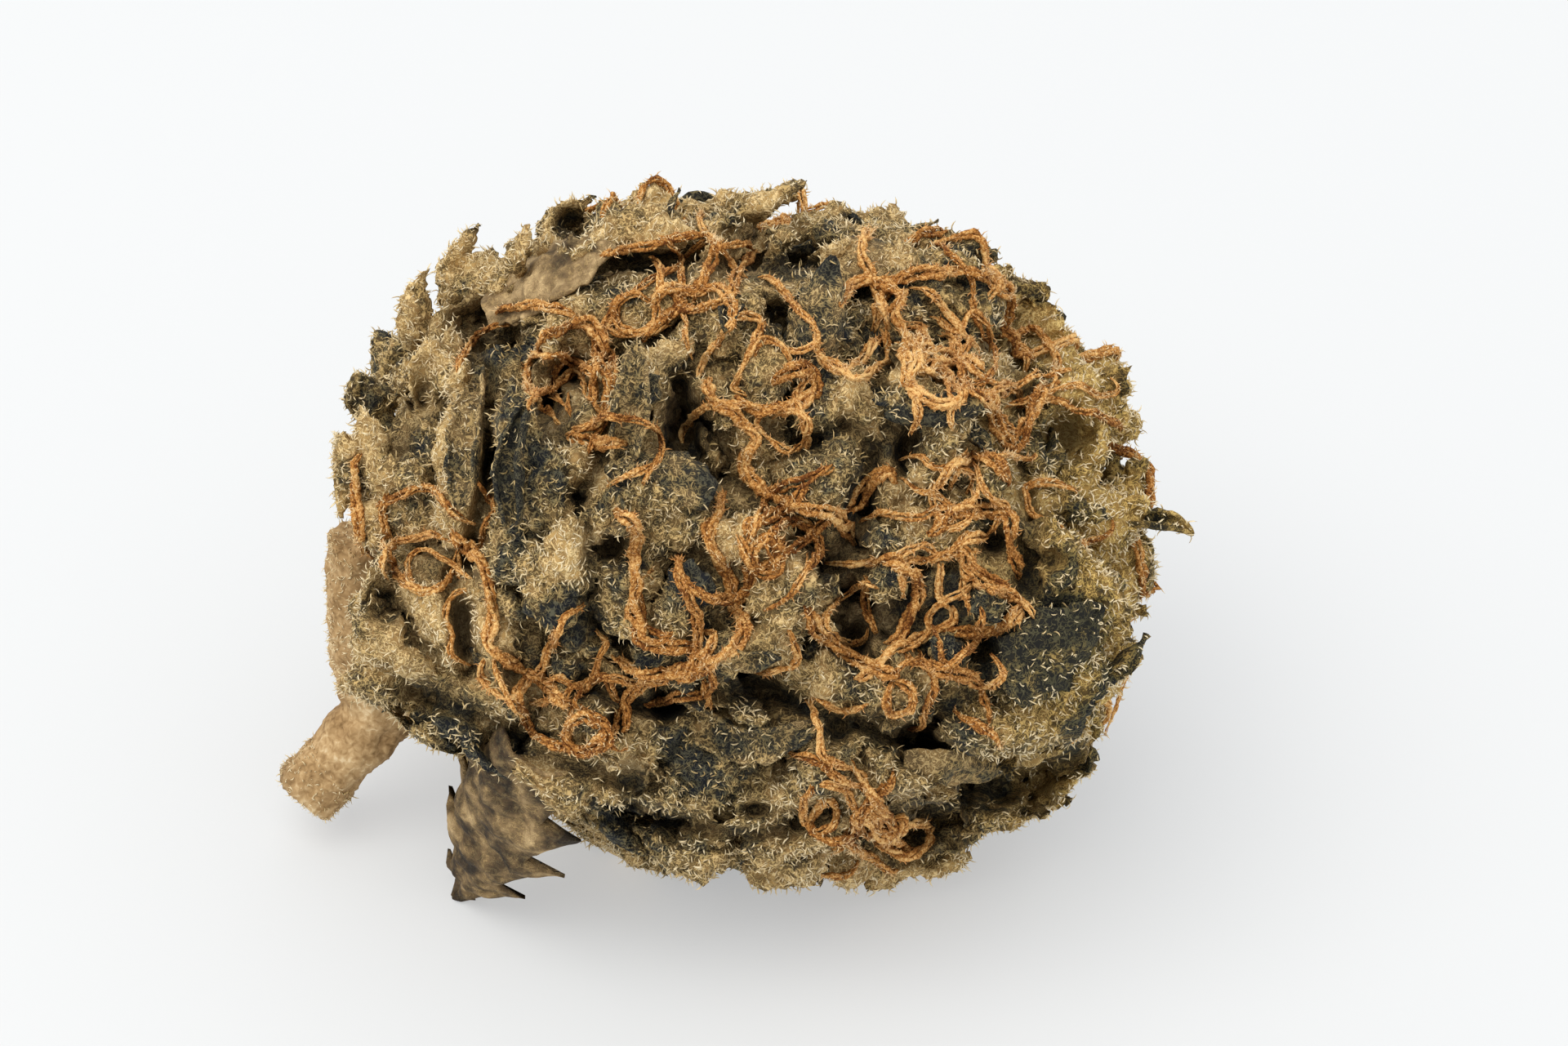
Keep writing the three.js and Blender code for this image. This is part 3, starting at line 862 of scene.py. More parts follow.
@dataclass
class Clusters:
    """The bract clusters, each a crowd of bracts grown together round a core."""

    bracts: Sequence[Bract]  # those that show
    gaps: Sequence[Gap]
    rng: np.random.Generator
    shrink: float = 1.35  # how far a cluster's plain core stays inside its outline
    voxel: float = 0.14  # how fine the joined skin is
    spare: float = 0.56  # the share of a cluster's reach that is hidden inside the bud and left off
    tries: int = 640  # how many places are tried for bracts that don't show
    apart: float = 1.1  # how far those stay from the ones that show

    def __post_init__(self) -> None:
        """Copies the CAD clusters and plants every bract on them."""
        self.nodes = sorted(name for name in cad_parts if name.startswith("bract_cluster"))
        self.copies = [bare_copy(name, f"{name}_copy") for name in self.nodes]
        self.ground = Ground(self.copies)
        self.template = bract_template()
        self.planted: list[list[Array]] = [[] for _ in self.nodes]
        self.heads: list[tuple[Array, float, float]] = []  # each bract's middle, reach and age
        taken = [self.plant_shown(bract) for bract in self.bracts]
        self.plant_rest([spot for spot in taken if spot is not None])

    def plant(self, spot: Array, normal: Array, owner: int, heading: Array, bract: Bract) -> None:
        """Grows one bract out of a cluster.

        Args:
            spot: where its middle is, on the cluster's outline.
            normal: the outline's normal there.
            owner: the cluster's number.
            heading: where its tip points, along the surface.
            bract: its sizes and age.
        """
        flat = unit(heading - normal * (heading @ normal))
        rise = math.radians(bract.rise)
        axis = flat * math.cos(rise) + normal * math.sin(rise)
        side = unit(np.cross(axis, normal))
        over = np.cross(side, axis)
        points, _ = self.template
        root = spot + normal * (bract.lift - 0.5 * bract.width) - axis * 0.42 * bract.length
        scaled = points * np.array([bract.width, bract.width, bract.length])
        grown = root + scaled[:, :1] * side - scaled[:, 1:2] * over + scaled[:, 2:] * axis
        grown += 0.14 * bract.width * grains(grown, 0.9, 1)
        self.planted[owner].append(grown)
        self.heads.append((root + axis * 0.55 * bract.length, 0.5 * bract.width, bract.age))

    def plant_shown(self, bract: Bract) -> Array | None:
        """Plants a bract that the viewer sees, and gives back where.

        Args:
            bract: where it stands, its sizes and its age.

        Returns:
            The place, or None where no cluster is seen.
        """
        found = self.ground.seen(bract.across, bract.up)
        if found is None:
            return None
        turn = math.radians(bract.heading)
        heading = math.cos(turn) * RIGHT + math.sin(turn) * VIEW.up
        spot, normal, owner = found
        normal = unit(normal + unit(spot - CORE))
        self.plant(spot, normal, owner, heading, bract)
        return spot

    def plant_rest(self, taken: Sequence[Array]) -> None:
        """Plants bracts wherever none stands yet.

        Args:
            taken: where the bracts that show stand.
        """
        stretch = np.array([12.6, 11.2, 10.6])
        for direction in spread_directions(self.tries):
            jitter = 0.09 * self.rng.normal(size=3)
            sizes = self.rng.random(4)
            found = self.ground.outwards(unit(unit(direction + jitter) * stretch))
            if found is None:
                continue
            spot, normal, owner = found
            if taken and np.linalg.norm(np.array(taken) - spot, axis=1).min() < self.apart:
                continue
            outward = unit(normal + 1.5 * unit(spot - CORE))
            heading = np.array([0.9, 0.0, 0.0]) + self.rng.normal(size=3) * 0.8
            patchy = 0.56 + 0.5 * float(grain(spot[None] + 40, 4.5, 5)[0]) + 0.6 * (sizes[3] - 0.5)
            patchy += 0.2 * min(max((spot[0] - 8) / 3, 0), 1)
            bract = Bract(
                0, 0, 0,
                length=1.6 + 1.7 * sizes[0],
                width=1.1 + 0.9 * sizes[1],
                age=float(np.clip(patchy, 0.05, 0.95)),
                rise=8 + 40 * sizes[2],
                lift=-0.35 + 0.95 * float(self.rng.random()),
            )
            self.plant(spot, outward, owner, heading, bract)

    def grow(self, number: int) -> Piece:
        """Joins one cluster's core and bracts into a single crumpled skin.

        Args:
            number: the cluster's number.

        Returns:
            The cluster, in millimetres.
        """
        core = self.copies[number]
        points = vertex_array(core.data)
        away = points - CORE
        reach = np.linalg.norm(away, axis=1, keepdims=True)
        shrunk = CORE + away * (1 - self.shrink / np.maximum(reach, 2 * self.shrink))
        _, faces = self.template
        parts = [new_piece("core", shrunk, triangle_array(core.data))]
        parts += [new_piece("bract", grown, faces) for grown in self.planted[number]]
        cluster = join(parts, f"cluster_{number + 1:02d}")
        apply_modifier(cluster, "REMESH", mode="VOXEL", voxel_size=self.voxel, use_smooth_shade=True)
        self.trim(cluster, points)
        self.crumple(cluster)
        return cluster

    def trim(self, cluster: Piece, outline: Array) -> None:
        """Cuts off the part of a cluster that is hidden deep in the bud.

        Args:
            cluster: the object to cut.
            outline: the vertices of its CAD node, in millimetres.
        """
        middle = outline.mean(axis=0) - CORE
        outward = unit(middle)
        farthest = ((outline - CORE) @ outward).max()
        cut = CORE + outward * farthest * self.spare
        choose(cluster)
        bpy.ops.object.mode_set(mode="EDIT")
        bpy.ops.mesh.select_all(action="SELECT")
        bpy.ops.mesh.bisect(plane_co=cut, plane_no=outward, use_fill=True, clear_inner=True)
        bpy.ops.object.mode_set(mode="OBJECT")

    def crumple(self, cluster: Piece) -> None:
        """Gives a cluster its wrinkles, its grain and the dents of the gaps between its bracts, whose painted shade is
        added later.

        Args:
            cluster: the object to change.
        """
        roughen(cluster, 1.0, 0.5)
        roughen(cluster, 0.42, 0.55)
        roughen(cluster, 0.2, 0.16, depth=0)
        points = vertex_array(cluster.data)
        dented = points.copy()
        for gap in self.gaps:
            dented += (gap.depth * gap.weight(points))[:, None] * unit(points - VIEW.eye)
        dented = press(dented)
        dented[:, 2] = np.maximum(dented[:, 2], 0.02)
        set_vertices(cluster.data, dented)


def seen_at(points: Array) -> tuple[Array, Array]:
    """Where the viewer sees points, across and up from the core.

    Args:
        points: places in millimetres.

    Returns:
        How far each is across, and how far up.
    """
    right = points - VIEW.eye
    flat = VIEW.eye + right * (VIEW.distance / -(right @ VIEW.out))[:, None] - CORE
    return flat[:, 0], flat @ VIEW.up


def press(points: Array) -> Array:
    """Presses the bud's outline flat wherever points stand out past one of its sides.

    Args:
        points: places in millimetres.

    Returns:
        The places after pressing.
    """
    pressed = points.copy()
    for turn, reach in FLATS:
        across, up = math.cos(math.radians(turn)), math.sin(math.radians(turn))
        seen_across, seen_up = seen_at(pressed)
        over = np.maximum(seen_across * across + seen_up * up - reach - 0.5 * grain(points, 1.6, 41), 0)
        pressed -= 0.75 * over[:, None] * (across * RIGHT + up * VIEW.up)
    return pressed


class Relief:
    """How deep each place lies below the bud's outer surface round it."""

    BINS = 150  # rows on the map, from the tip to the stem
    WIDEN = 4
    SMOOTH = 3

    def __init__(self, ground: Ground) -> None:
        """Maps the outermost reach in every direction, widened so that gaps are bridged.

        Args:
            ground: the surface that it describes.
        """
        self.ground = ground
        reach = np.zeros((self.BINS, 2 * self.BINS))
        rows, columns, distance = self.address(ground.points)
        np.maximum.at(reach, (rows, columns), distance)
        for _ in range(self.WIDEN):
            wider = reach.copy()
            for shift in (-1, 1):
                wider = np.maximum(wider, np.roll(reach, shift, axis=1))
                moved = np.roll(reach, shift, axis=0)
                moved[0 if shift == 1 else -1] = 0
                wider = np.maximum(wider, moved)
            reach = wider
        for _ in range(self.SMOOTH):
            reach = (reach + np.roll(reach, 1, 1) + np.roll(reach, -1, 1)) / 3
            inner = (reach[:-2] + reach[1:-1] + reach[2:]) / 3
            reach[1:-1] = inner
        self.reach = reach

    def address(self, points: Array) -> tuple[Array, Array, Array]:
        """Finds points on the map.

        Args:
            points: places in millimetres.

        Returns:
            Each point's row and column, and its distance from the core.
        """
        away = points - CORE
        distance = np.linalg.norm(away, axis=1)
        rows = np.arccos(np.clip(away[:, 0] / np.maximum(distance, 1e-6), -1, 1)) / math.pi * self.BINS
        columns = (np.arctan2(away[:, 1], away[:, 2]) / math.pi + 1) * self.BINS
        rows = np.clip(rows.astype(int), 0, self.BINS - 1)
        return rows, columns.astype(int) % (2 * self.BINS), distance

    def depth(self, points: Array) -> Array:
        """How far each point lies below the outer surface, in millimetres."""
        rows, columns, distance = self.address(points)
        return np.maximum(self.reach[rows, columns] - distance, 0)


# ---- Leaves ----

BLADE_COLUMNS = 17
BLADE_THICKNESS = 0.13


@dataclass(frozen=True)
class Blade:
    """One sugar leaf: a thin blade with a saw edge, folded or rolled along its midrib."""

    path: tuple[Pair, ...]  # where its midrib runs, as the viewer sees it, from the root to the tip
    width: float
    fold: float  # how far its sides bend up, or down when negative, in radians
    lift: tuple[float, float] = (0.3, 0.8)  # height of its root and its tip over the clusters
    age: float = 0.25
    teeth: float = 0.25  # depth of the saw edge, as a share of the width
    notches: float = 5.0  # how many teeth a side has
    bare: bool = False  # shows its brown underside, with no resin hairs
    taper: float = 0.85  # below 1, its widest part is nearer to its root


def blade_mesh(name: str, spine: Array, facing: Array, blade: Blade, seed: int) -> Piece:
    """Models one blade on a grid and gives it its thickness.

    Args:
        name: the piece's name.
        spine: points along the midrib, n by 3.
        facing: the direction that the upper side faces at each of them.
        blade: its sizes.
        seed: picks its wrinkles.

    Returns:
        The blade, in millimetres.
    """
    rows, columns = len(spine), BLADE_COLUMNS
    deselect_all()
    bpy.ops.mesh.primitive_grid_add(x_subdivisions=columns - 1, y_subdivisions=rows - 1, size=2)
    piece = bpy.context.active_object
    piece.name = piece.data.name = name
    grid = vertex_array(piece.data)
    along = np.clip((grid[:, 1] + 1) / 2, 0, 1)
    side_share = grid[:, 0]
    row = np.round(along * (rows - 1)).astype(int)
    tangent = unit(np.gradient(spine, axis=0))
    side = unit(np.cross(tangent, facing))
    facing = np.cross(side, tangent)
    notch = (along * blade.notches + 0.3 * (side_share > 0)) % 1
    tooth = 1 - blade.teeth * notch * np.abs(side_share) ** 3
    profile = np.sin(math.pi * np.clip(0.1 + 0.9 * along**blade.taper, 0, 1)) ** 0.7 + 0.03
    half = blade.width / 2 * profile * tooth
    bend = blade.fold * np.abs(side_share)
    reach = side_share * half
    points = spine[row] + side[row] * (reach * np.cos(bend))[:, None]
    points += facing[row] * (np.abs(reach) * np.sin(bend))[:, None]
    wrinkle = 0.22 * grain(points, 0.8, seed) + 0.12 * grain(points, 0.35, seed + 1)
    vein = -0.07 * np.exp(-((side_share / 0.12) ** 2)) - 0.03 * np.cos(along * 40 + 6 * np.abs(side_share)) ** 8
    points += facing[row] * (wrinkle + vein)[:, None]
    set_vertices(piece.data, points)
    apply_modifier(piece, "SOLIDIFY", thickness=BLADE_THICKNESS, offset=0)
    turn_outwards(piece)
    return piece


def smooth_path(points: Array, step: float) -> Array:
    """Runs a smooth curve through points and samples it evenly.

    Args:
        points: at least two points, n by 2 or 3.
        step: how far apart the samples are.

    Returns:
        The samples.
    """
    ends = np.concatenate([[2 * points[0] - points[1]], points, [2 * points[-1] - points[-2]]])
    samples = []
    for i in range(1, len(ends) - 2):
        a, b, c, d = ends[i - 1 : i + 3]
        t = np.linspace(0, 1, 16, endpoint=False)[:, None]
        square, cube = 2 * a - 5 * b + 4 * c - d, 3 * b - a - 3 * c + d
        samples.append(0.5 * (2 * b + (c - a) * t + square * t**2 + cube * t**3))
    dense = np.concatenate([*samples, [points[-1]]])
    run = np.concatenate([[0], np.cumsum(np.linalg.norm(np.diff(dense, axis=0), axis=1))])
    even = np.linspace(0, run[-1], max(int(run[-1] / step), 3) + 1)
    return np.stack([np.interp(even, run, dense[:, k]) for k in range(dense.shape[1])], axis=1)


def settle(heights: Array, window: int) -> Array:
    """Bridges the dips in a line of heights, as a stiff thread does, then smooths it.

    Args:
        heights: the heights along the line.
        window: how far a dip is bridged, in points to each side.

    Returns:
        The new heights.
    """
    padded = np.pad(heights, window, mode="edge")
    top = np.max([padded[i : i + len(heights)] for i in range(2 * window + 1)], axis=0)
    padded = np.pad(top, window, mode="edge")
    return np.mean([padded[i : i + len(heights)] for i in range(2 * window + 1)], axis=0)


def lay_seen(ground: Ground, path: Sequence[Pair], step: float, clear: float, window: int) -> tuple[Array, Array]:
    """Lays a line on the side that shows.

    Args:
        ground: what it lies on.
        path: where it runs, as the viewer sees it.
        step: the distance between its points.
        clear: its height over what it lies on.
        window: how many points a dip has to span before the line follows it down.

    Returns:
        The line's points, and the outward direction at each.
    """
    flat = smooth_path(np.array(path, float), step)
    heights, rays = [], []
    for across, up in flat:
        base = VIEW.place(across, up)
        ray = unit(VIEW.eye - base)
        found = ground.hit(VIEW.eye, -ray)
        if found is not None:
            heights.append(float((found[0] - base) @ ray))
            rays.append((base, ray))
    heights = settle(np.array(heights), window) + clear
    points = np.array([base + ray * h for (base, ray), h in zip(rays, heights)])
    facing = unit(0.6 * np.array([ray for _, ray in rays]) + unit(points - CORE))
    return points, facing


def lay_round(ground: Ground, directions: Array, clear: float, window: int) -> tuple[Array, Array]:
    """Lays a line along directions from the core, anywhere on the bud.

    Args:
        ground: what it lies on.
        directions: unit directions from the core.
        clear: its height over what it lies on.
        window: how many points a dip has to span before the line follows it down.

    Returns:
        The line's points, and the outward direction at each.
    """
    heights, last = [], BUD_RADIUS
    for direction in directions:
        found = ground.outwards(direction)
        last = float(np.linalg.norm(found[0] - CORE)) if found else last
        heights.append(last)
    heights = settle(np.array(heights), window) + clear
    return CORE + directions * heights[:, None], directions


def wander(rng: np.random.Generator, start: Array, length: float, curl: float, step: float) -> Array:
    """Directions along a winding line on the bud.

    Args:
        rng: the source of chance.
        start: the first direction from the core.
        length: the line's length in millimetres.
        curl: how hard it winds.
        step: the distance between samples.

    Returns:
        One unit direction for each sample.
    """
    heading = unit(np.cross(start, rng.normal(size=3)))
    turning = curl * rng.normal()
    spot = start
    spots = [spot]
    for _ in range(int(length / step)):
        turning += 0.35 * curl * rng.normal() - 0.03 * turning
        side = np.cross(spot, heading)
        heading = unit(heading + side * turning * step)
        spot = unit(spot + heading * step / BUD_RADIUS)
        heading = unit(heading - spot * (heading @ spot))
        spots.append(spot)
    return np.array(spots)


# ---- Threads: pistils ----


def tube_faces(rings: int, sides: int) -> Array:
    """The triangles of a closed tube whose two end points follow its rings.

    Args:
        rings: how many rings it has.
        sides: how many points a ring has.

    Returns:
        Vertex numbers, m by 3.
    """
    base = np.arange(rings - 1)[:, None] * sides
    here = np.arange(sides)[None, :]
    beyond = (here + 1) % sides
    quads = np.stack([base + here, base + beyond, base + beyond + sides, base + here + sides], axis=-1).reshape(-1, 4)
    around = np.arange(sides)
    last = (rings - 1) * sides
    first_cap = np.stack([np.full(sides, rings * sides), (around + 1) % sides, around], axis=1)
    last_cap = np.stack([np.full(sides, rings * sides + 1), last + around, last + (around + 1) % sides], axis=1)
    return np.concatenate([quads[:, [0, 1, 2]], quads[:, [0, 2, 3]], first_cap, last_cap])


@dataclass(frozen=True)
class Tangle:
    """A knot of short threads on the side that shows."""

    across: float
    up: float
    radius: float
    count: int
    width: float
    age: float


@dataclass
class Pistils:
    """Dried pistils: fibrous threads laid over the clusters."""

    ground: Ground
    material: Material
    rng: np.random.Generator
    step: float = 0.075  # between the rings of a strand
    sides: int = 5  # of a strand
    dive: float = 0.45  # how far an end goes down between the bracts
    window: int = 3  # how many steps a dip has to span before a thread follows it down
    built: list[Piece] = field(default_factory=list)

    def thread(self, name: str, points: Array, facing: Array, width: float, age: float, strands: int = 4) -> Piece:
        """Twists a few rough strands round a line, as a pistil's dried fibres do.

        Args:
            name: the object's name.
            points: its centreline.
            facing: the outward direction at each point.
            width: its width.
            age: 0 is red-brown, 1 is pale orange.
            strands: how many strands it has.

        Returns:
            The thread, in millimetres.
        """
        count = len(points)
        run = np.arange(count) * self.step
        end = np.clip(np.minimum(run, run[-1] - run) / 0.6, 0, 1)
        points = points - facing * (self.dive * (1 - end) ** 2)[:, None]
        tangent = unit(np.gradient(points, axis=0))
        side = unit(np.cross(tangent, facing))
        out = np.cross(side, tangent)
        verts, faces, ages = [], [], []
        for strand in range(strands):
            seed = int(self.rng.integers(1000))
            turn = 2 * math.pi * strand / strands + 1.3 * run + 2.2 * grain(points, 1.3, seed)
            spread = width * (0.26 + 0.12 * grain(points, 0.8, seed + 1)) * (0.35 + 0.65 * end)
            middle = points + side * (spread * np.cos(turn))[:, None] + out * (0.7 * spread * np.sin(turn))[:, None]
            middle += 0.1 * width * grains(points, 0.3, seed + 2)
            girth = width * (0.17 + 0.06 * grain(middle, 0.4, seed + 5)) * (0.35 + 0.65 * end)
            angle = np.linspace(0, 2 * math.pi, self.sides, endpoint=False)[None, :]
            ring = middle[:, None] + side[:, None] * (girth[:, None] * np.cos(angle))[..., None]
            ring = (ring + out[:, None] * (girth[:, None] * np.sin(angle))[..., None]).reshape(-1, 3)
            centre = np.repeat(middle, self.sides, axis=0)
            rough = 1 + 0.6 * grain(ring, 0.1, seed + 6) + 0.35 * grain(ring, 0.22, seed + 7)
            ring = centre + (ring - centre) * rough[:, None]
            start = sum(len(v) for v in verts)
            verts.append(np.concatenate([ring, middle[:1], middle[-1:]]))
            faces.append(tube_faces(count, self.sides) + start)
            tone = age + 0.2 * (self.rng.random() - 0.5) + 0.3 * grain(verts[-1], 1.2, seed + 8)
            ages.append(np.clip(tone, 0, 1))
        piece = new_piece(name, np.concatenate(verts), np.concatenate(faces))
        set_attribute(piece.data, "age", np.concatenate(ages))
        turn_outwards(piece)
        return piece

    def seen(self, name: str, path: Sequence[Pair], width: float, age: float, clear: float) -> Piece:
        """Lays one thread on the side that shows.

        Args:
            name: the object's name.
            path: where it runs, as the viewer sees it.
            width: its width.
            age: 0 is red-brown, 1 is pale orange.
            clear: its height over what it lies on.

        Returns:
            The thread, in millimetres.
        """
        points, facing = lay_seen(self.ground, path, self.step, clear, self.window)
        points += 0.05 * grains(points, 0.6, 11)
        return self.thread(name, points, facing, width, age)

    def keep(self, piece: Piece, *nodes: str) -> None:
        """Puts a piece in line to be finished, and to be covered with fuzz."""
        self.built.append(piece)
        BENCH.append(Waiting(piece, "pistil", self.material, nodes))

    def shown(self, number: int, path: Sequence[Pair], width: float = 0.58, age: float = 0.5) -> None:
        """Lays one of the pistils that the CAD model names.

        Args:
            number: the pistil's number.
            path: where it runs, as the viewer sees it.
            width: its width.
            age: 0 is red-brown, 1 is pale orange.
        """
        node = f"pistil_{number:02d}"
        self.keep(self.seen(f"{node}_thread", path, width, age, 0.3 * width), node)

    def loose(self, path: Sequence[Pair]) -> None:
        """Hangs the thin pistil that stands free at the lower edge, as near to the viewer as its CAD node.

        Args:
            path: where it runs, as the viewer sees it.
        """
        middle = sum(np.array(corner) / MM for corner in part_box("pistil_loose")) / 2
        near = 1 - (middle - CORE) @ VIEW.out / VIEW.distance
        flat = smooth_path(np.array(path), self.step)
        points = np.array([VIEW.eye + (VIEW.place(*place) - VIEW.eye) * near for place in flat])
        facing = np.repeat(VIEW.out[None], len(points), axis=0)
        self.keep(self.thread("pistil_loose_thread", points, facing, 0.26, 0.6, 2), "pistil_loose")

    def fine(self, name: str, routes: Sequence[tuple[Sequence[Pair], float, float]]) -> None:
        """Lays the smaller threads that show, as one piece.

        Args:
            name: the piece's name.
            routes: for each thread, where it runs, its width and its age.
        """
        self.keep(join([self.seen("thread", path, width, age, 0.25 * width) for path, width, age in routes], name))

    def knot(self, name: str, tangles: Sequence[Tangle]) -> None:
        """Lays the knots of short threads, as one piece.

        Args:
            name: the piece's name.
            tangles: where the knots are and what they hold.
        """
        parts = []
        for tangle in tangles:
            for _ in range(tangle.count):
                turn = 2 * math.pi * self.rng.random()
                bend = 0.55 * self.rng.normal()
                radius = tangle.radius * math.sqrt(self.rng.random())
                angle = 2 * math.pi * self.rng.random()
                spot = np.array([tangle.across + radius * math.cos(angle), tangle.up + radius * math.sin(angle)])
                path = [tuple(spot)]
                for _ in range(int(5 + 3 * self.rng.random())):
                    spot = spot + 0.62 * np.array([math.cos(turn), math.sin(turn)])
                    turn += bend + 0.5 * self.rng.normal()
                    path.append(tuple(spot))
                width = tangle.width * (0.8 + 0.4 * self.rng.random())
                age = tangle.age + 0.25 * (self.rng.random() - 0.5)
                if all(self.ground.seen(*place) for place in path):
                    parts.append(self.seen("thread", path, width, age, (0.1 + 0.5 * self.rng.random()) * width))
        self.keep(join(parts, name))

    def scatter(self, name: str, count: int, wanted: Callable[[Array], bool]) -> None:
        """Lays threads by chance over part of the bud, as one piece.

        Args:
            name: the piece's name.
            count: how many.
            wanted: says whether a direction from the core is in that part.
        """
        parts = []
        while len(parts) < count:
            start = unit(self.rng.normal(size=3))
            if not wanted(start):
                continue
            length = 2.5 + 5.5 * self.rng.random()
            directions = wander(self.rng, start, length, 0.5, self.step)
            width = 0.3 + 0.25 * self.rng.random()
            points, facing = lay_round(self.ground, directions, 0.2 * width, self.window)
            points[:, 2] = np.maximum(points[:, 2], 0.3)
            tone = 0.3 + 0.4 * self.rng.random()
            parts.append(self.thread("thread", points, facing, width, tone, strands=3))
        self.keep(join(parts, name))


# ---- Resin hairs ----


@dataclass(frozen=True)
class HairKind:
    """The sizes of one kind of hair."""

    length: Pair
    radius: float
    rings: int
    lean: float  # how far it leans off the surface's normal
    curl: float


LONG_HAIR = HairKind((0.2, 0.4), 0.028, 3, 1.5, 1.0)
FUZZ = HairKind((0.12, 0.3), 0.022, 2, 1.1, 0.9)


@dataclass
class Hairs:
    """Tens of thousands of short curled hairs that stand on every outer surface."""

    ground: Ground  # everything that can stand in a hair's way
    relief: Relief
    clusters: Clusters
    rng: np.random.Generator
    density: float  # hairs to a square millimetre
    group: int = 12000  # the most hairs in one piece
    deepest: float = 1.6  # how deep between the bracts a hair may stand
    lowest: float = 0.25  # the lowest that a hair may stand
    room: float = 0.7  # how far over its root nothing may be

    def sites(self, piece: Piece, per_area: float) -> tuple[Array, Array]:
        """Picks places on a piece by area, and leaves out those that nothing can see.

        Args:
            piece: what the hairs stand on, in millimetres.
            per_area: hairs to a square millimetre.

        Returns:
            The places and their normals.
        """
        points, faces = vertex_array(piece.data), triangle_array(piece.data)
        corners = points[faces]
        cross = np.cross(corners[:, 1] - corners[:, 0], corners[:, 2] - corners[:, 0])
        area = np.linalg.norm(cross, axis=1) / 2
        normal = unit(cross)
        outward = (normal * unit(corners.mean(axis=1) - CORE)).sum(axis=1)
        depth = self.relief.depth(corners.mean(axis=1))
        high = corners[:, :, 2].mean(axis=1) > self.lowest
        weight = area * (outward > -0.35) * (depth < self.deepest) * high
        for gap in self.clusters.gaps:
            weight = weight * (1 - 0.85 * gap.weight(corners.mean(axis=1)))
        count = int(weight.sum() * per_area)
        if count == 0:
            return np.empty((0, 3)), np.empty((0, 3))
        picked = self.rng.choice(len(faces), count, p=weight / weight.sum())
        mix = self.rng.random((count, 2))
        mix = np.where(mix.sum(axis=1, keepdims=True) > 1, 1 - mix, mix)
        spots = corners[picked, 0] + mix[:, :1] * (corners[picked, 1] - corners[picked, 0])
        spots += mix[:, 1:] * (corners[picked, 2] - corners[picked, 0])
        clumps = grain(spots, 0.8, 77) + 0.6 * self.rng.random(count)
        chosen = clumps > -0.6
        spots, normals = spots[chosen], normal[picked][chosen]
        free = [
            self.ground.tree.ray_cast(Vector(s + 0.04 * n), Vector(n), self.room)[0] is None
            for s, n in zip(spots, normals)
        ]
        return spots[free], normals[free]

    def mesh(self, name: str, spots: Array, normals: Array, kind: HairKind, tone: Array) -> Piece:
        """Models all the hairs of one group at once, each a thin three-sided curved spike.

        Args:
            name: the piece's name.
            spots: where they stand.
            normals: the surface's normals there.
            kind: their sizes.
            tone: one tone for each, from 0 to 1.

        Returns:
            The group, in millimetres, with its chart of tone and length.
        """
        count = len(spots)
        random = self.rng.random
        wild = unit(self.rng.normal(size=(count, 3)))
        side = unit(np.cross(normals, wild))
        heading = unit(normals + side * (kind.lean * (0.4 + random(count)))[:, None])
        length = (kind.length[0] + (kind.length[1] - kind.length[0]) * random(count))[:, None]
        bend = unit(np.cross(heading, unit(self.rng.normal(size=(count, 3)))))
        curl = (kind.curl * (0.3 + random(count)))[:, None]
        steps = kind.rings
        spine = [spots - 0.03 * normals]
        direction = heading
        for _ in range(steps):
            spine.append(spine[-1] + direction * length / steps)
            direction = unit(direction + bend * curl)
        spine = np.stack(spine, axis=1)
        axis = unit(spine[:, -1] - spine[:, 0])
        first = unit(np.cross(axis, wild))
        second = np.cross(axis, first)
        girth = kind.radius * (0.75 + 0.5 * random(count))
        rings = []
        for k in range(steps):
            size = girth * (1.0 - 0.35 * k / steps)
            for turn in (0, 2 * math.pi / 3, 4 * math.pi / 3):
                offset = first * math.cos(turn) + second * math.sin(turn)
                rings.append(spine[:, k] + offset * size[:, None])
        rings.append(spine[:, steps])
        verts = np.stack(rings, axis=1)
        verts[..., 2] = np.maximum(verts[..., 2], 0.01)
        per = 3 * steps + 1
        faces = [[0, 2, 1]]
        for k in range(steps - 1):
            for a in range(3):
                b = (a + 1) % 3
                low, high = 3 * k, 3 * (k + 1)
                faces += [[low + a, low + b, high + b], [low + a, high + b, high + a]]
        top = 3 * (steps - 1)
        faces += [[top + a, top + (a + 1) % 3, per - 1] for a in range(3)]
        faces = np.array(faces)
        every = (faces[None] + (np.arange(count) * per)[:, None, None]).reshape(-1, 3)
        piece = new_piece(name, verts.reshape(-1, 3), every)
        chart = piece.data.uv_layers.new(name=HAIR_CHART)
        share = np.append(np.repeat(np.arange(steps) / steps, 3), 1.0)
        corner = faces.ravel()
        u = np.repeat(np.clip(tone, 0.02, 0.98), len(corner))
        v = np.tile(0.02 + 0.96 * share[corner], count)
        chart.data.foreach_set("uv", np.stack([u, v], axis=1).astype(np.float32).ravel())
        return piece

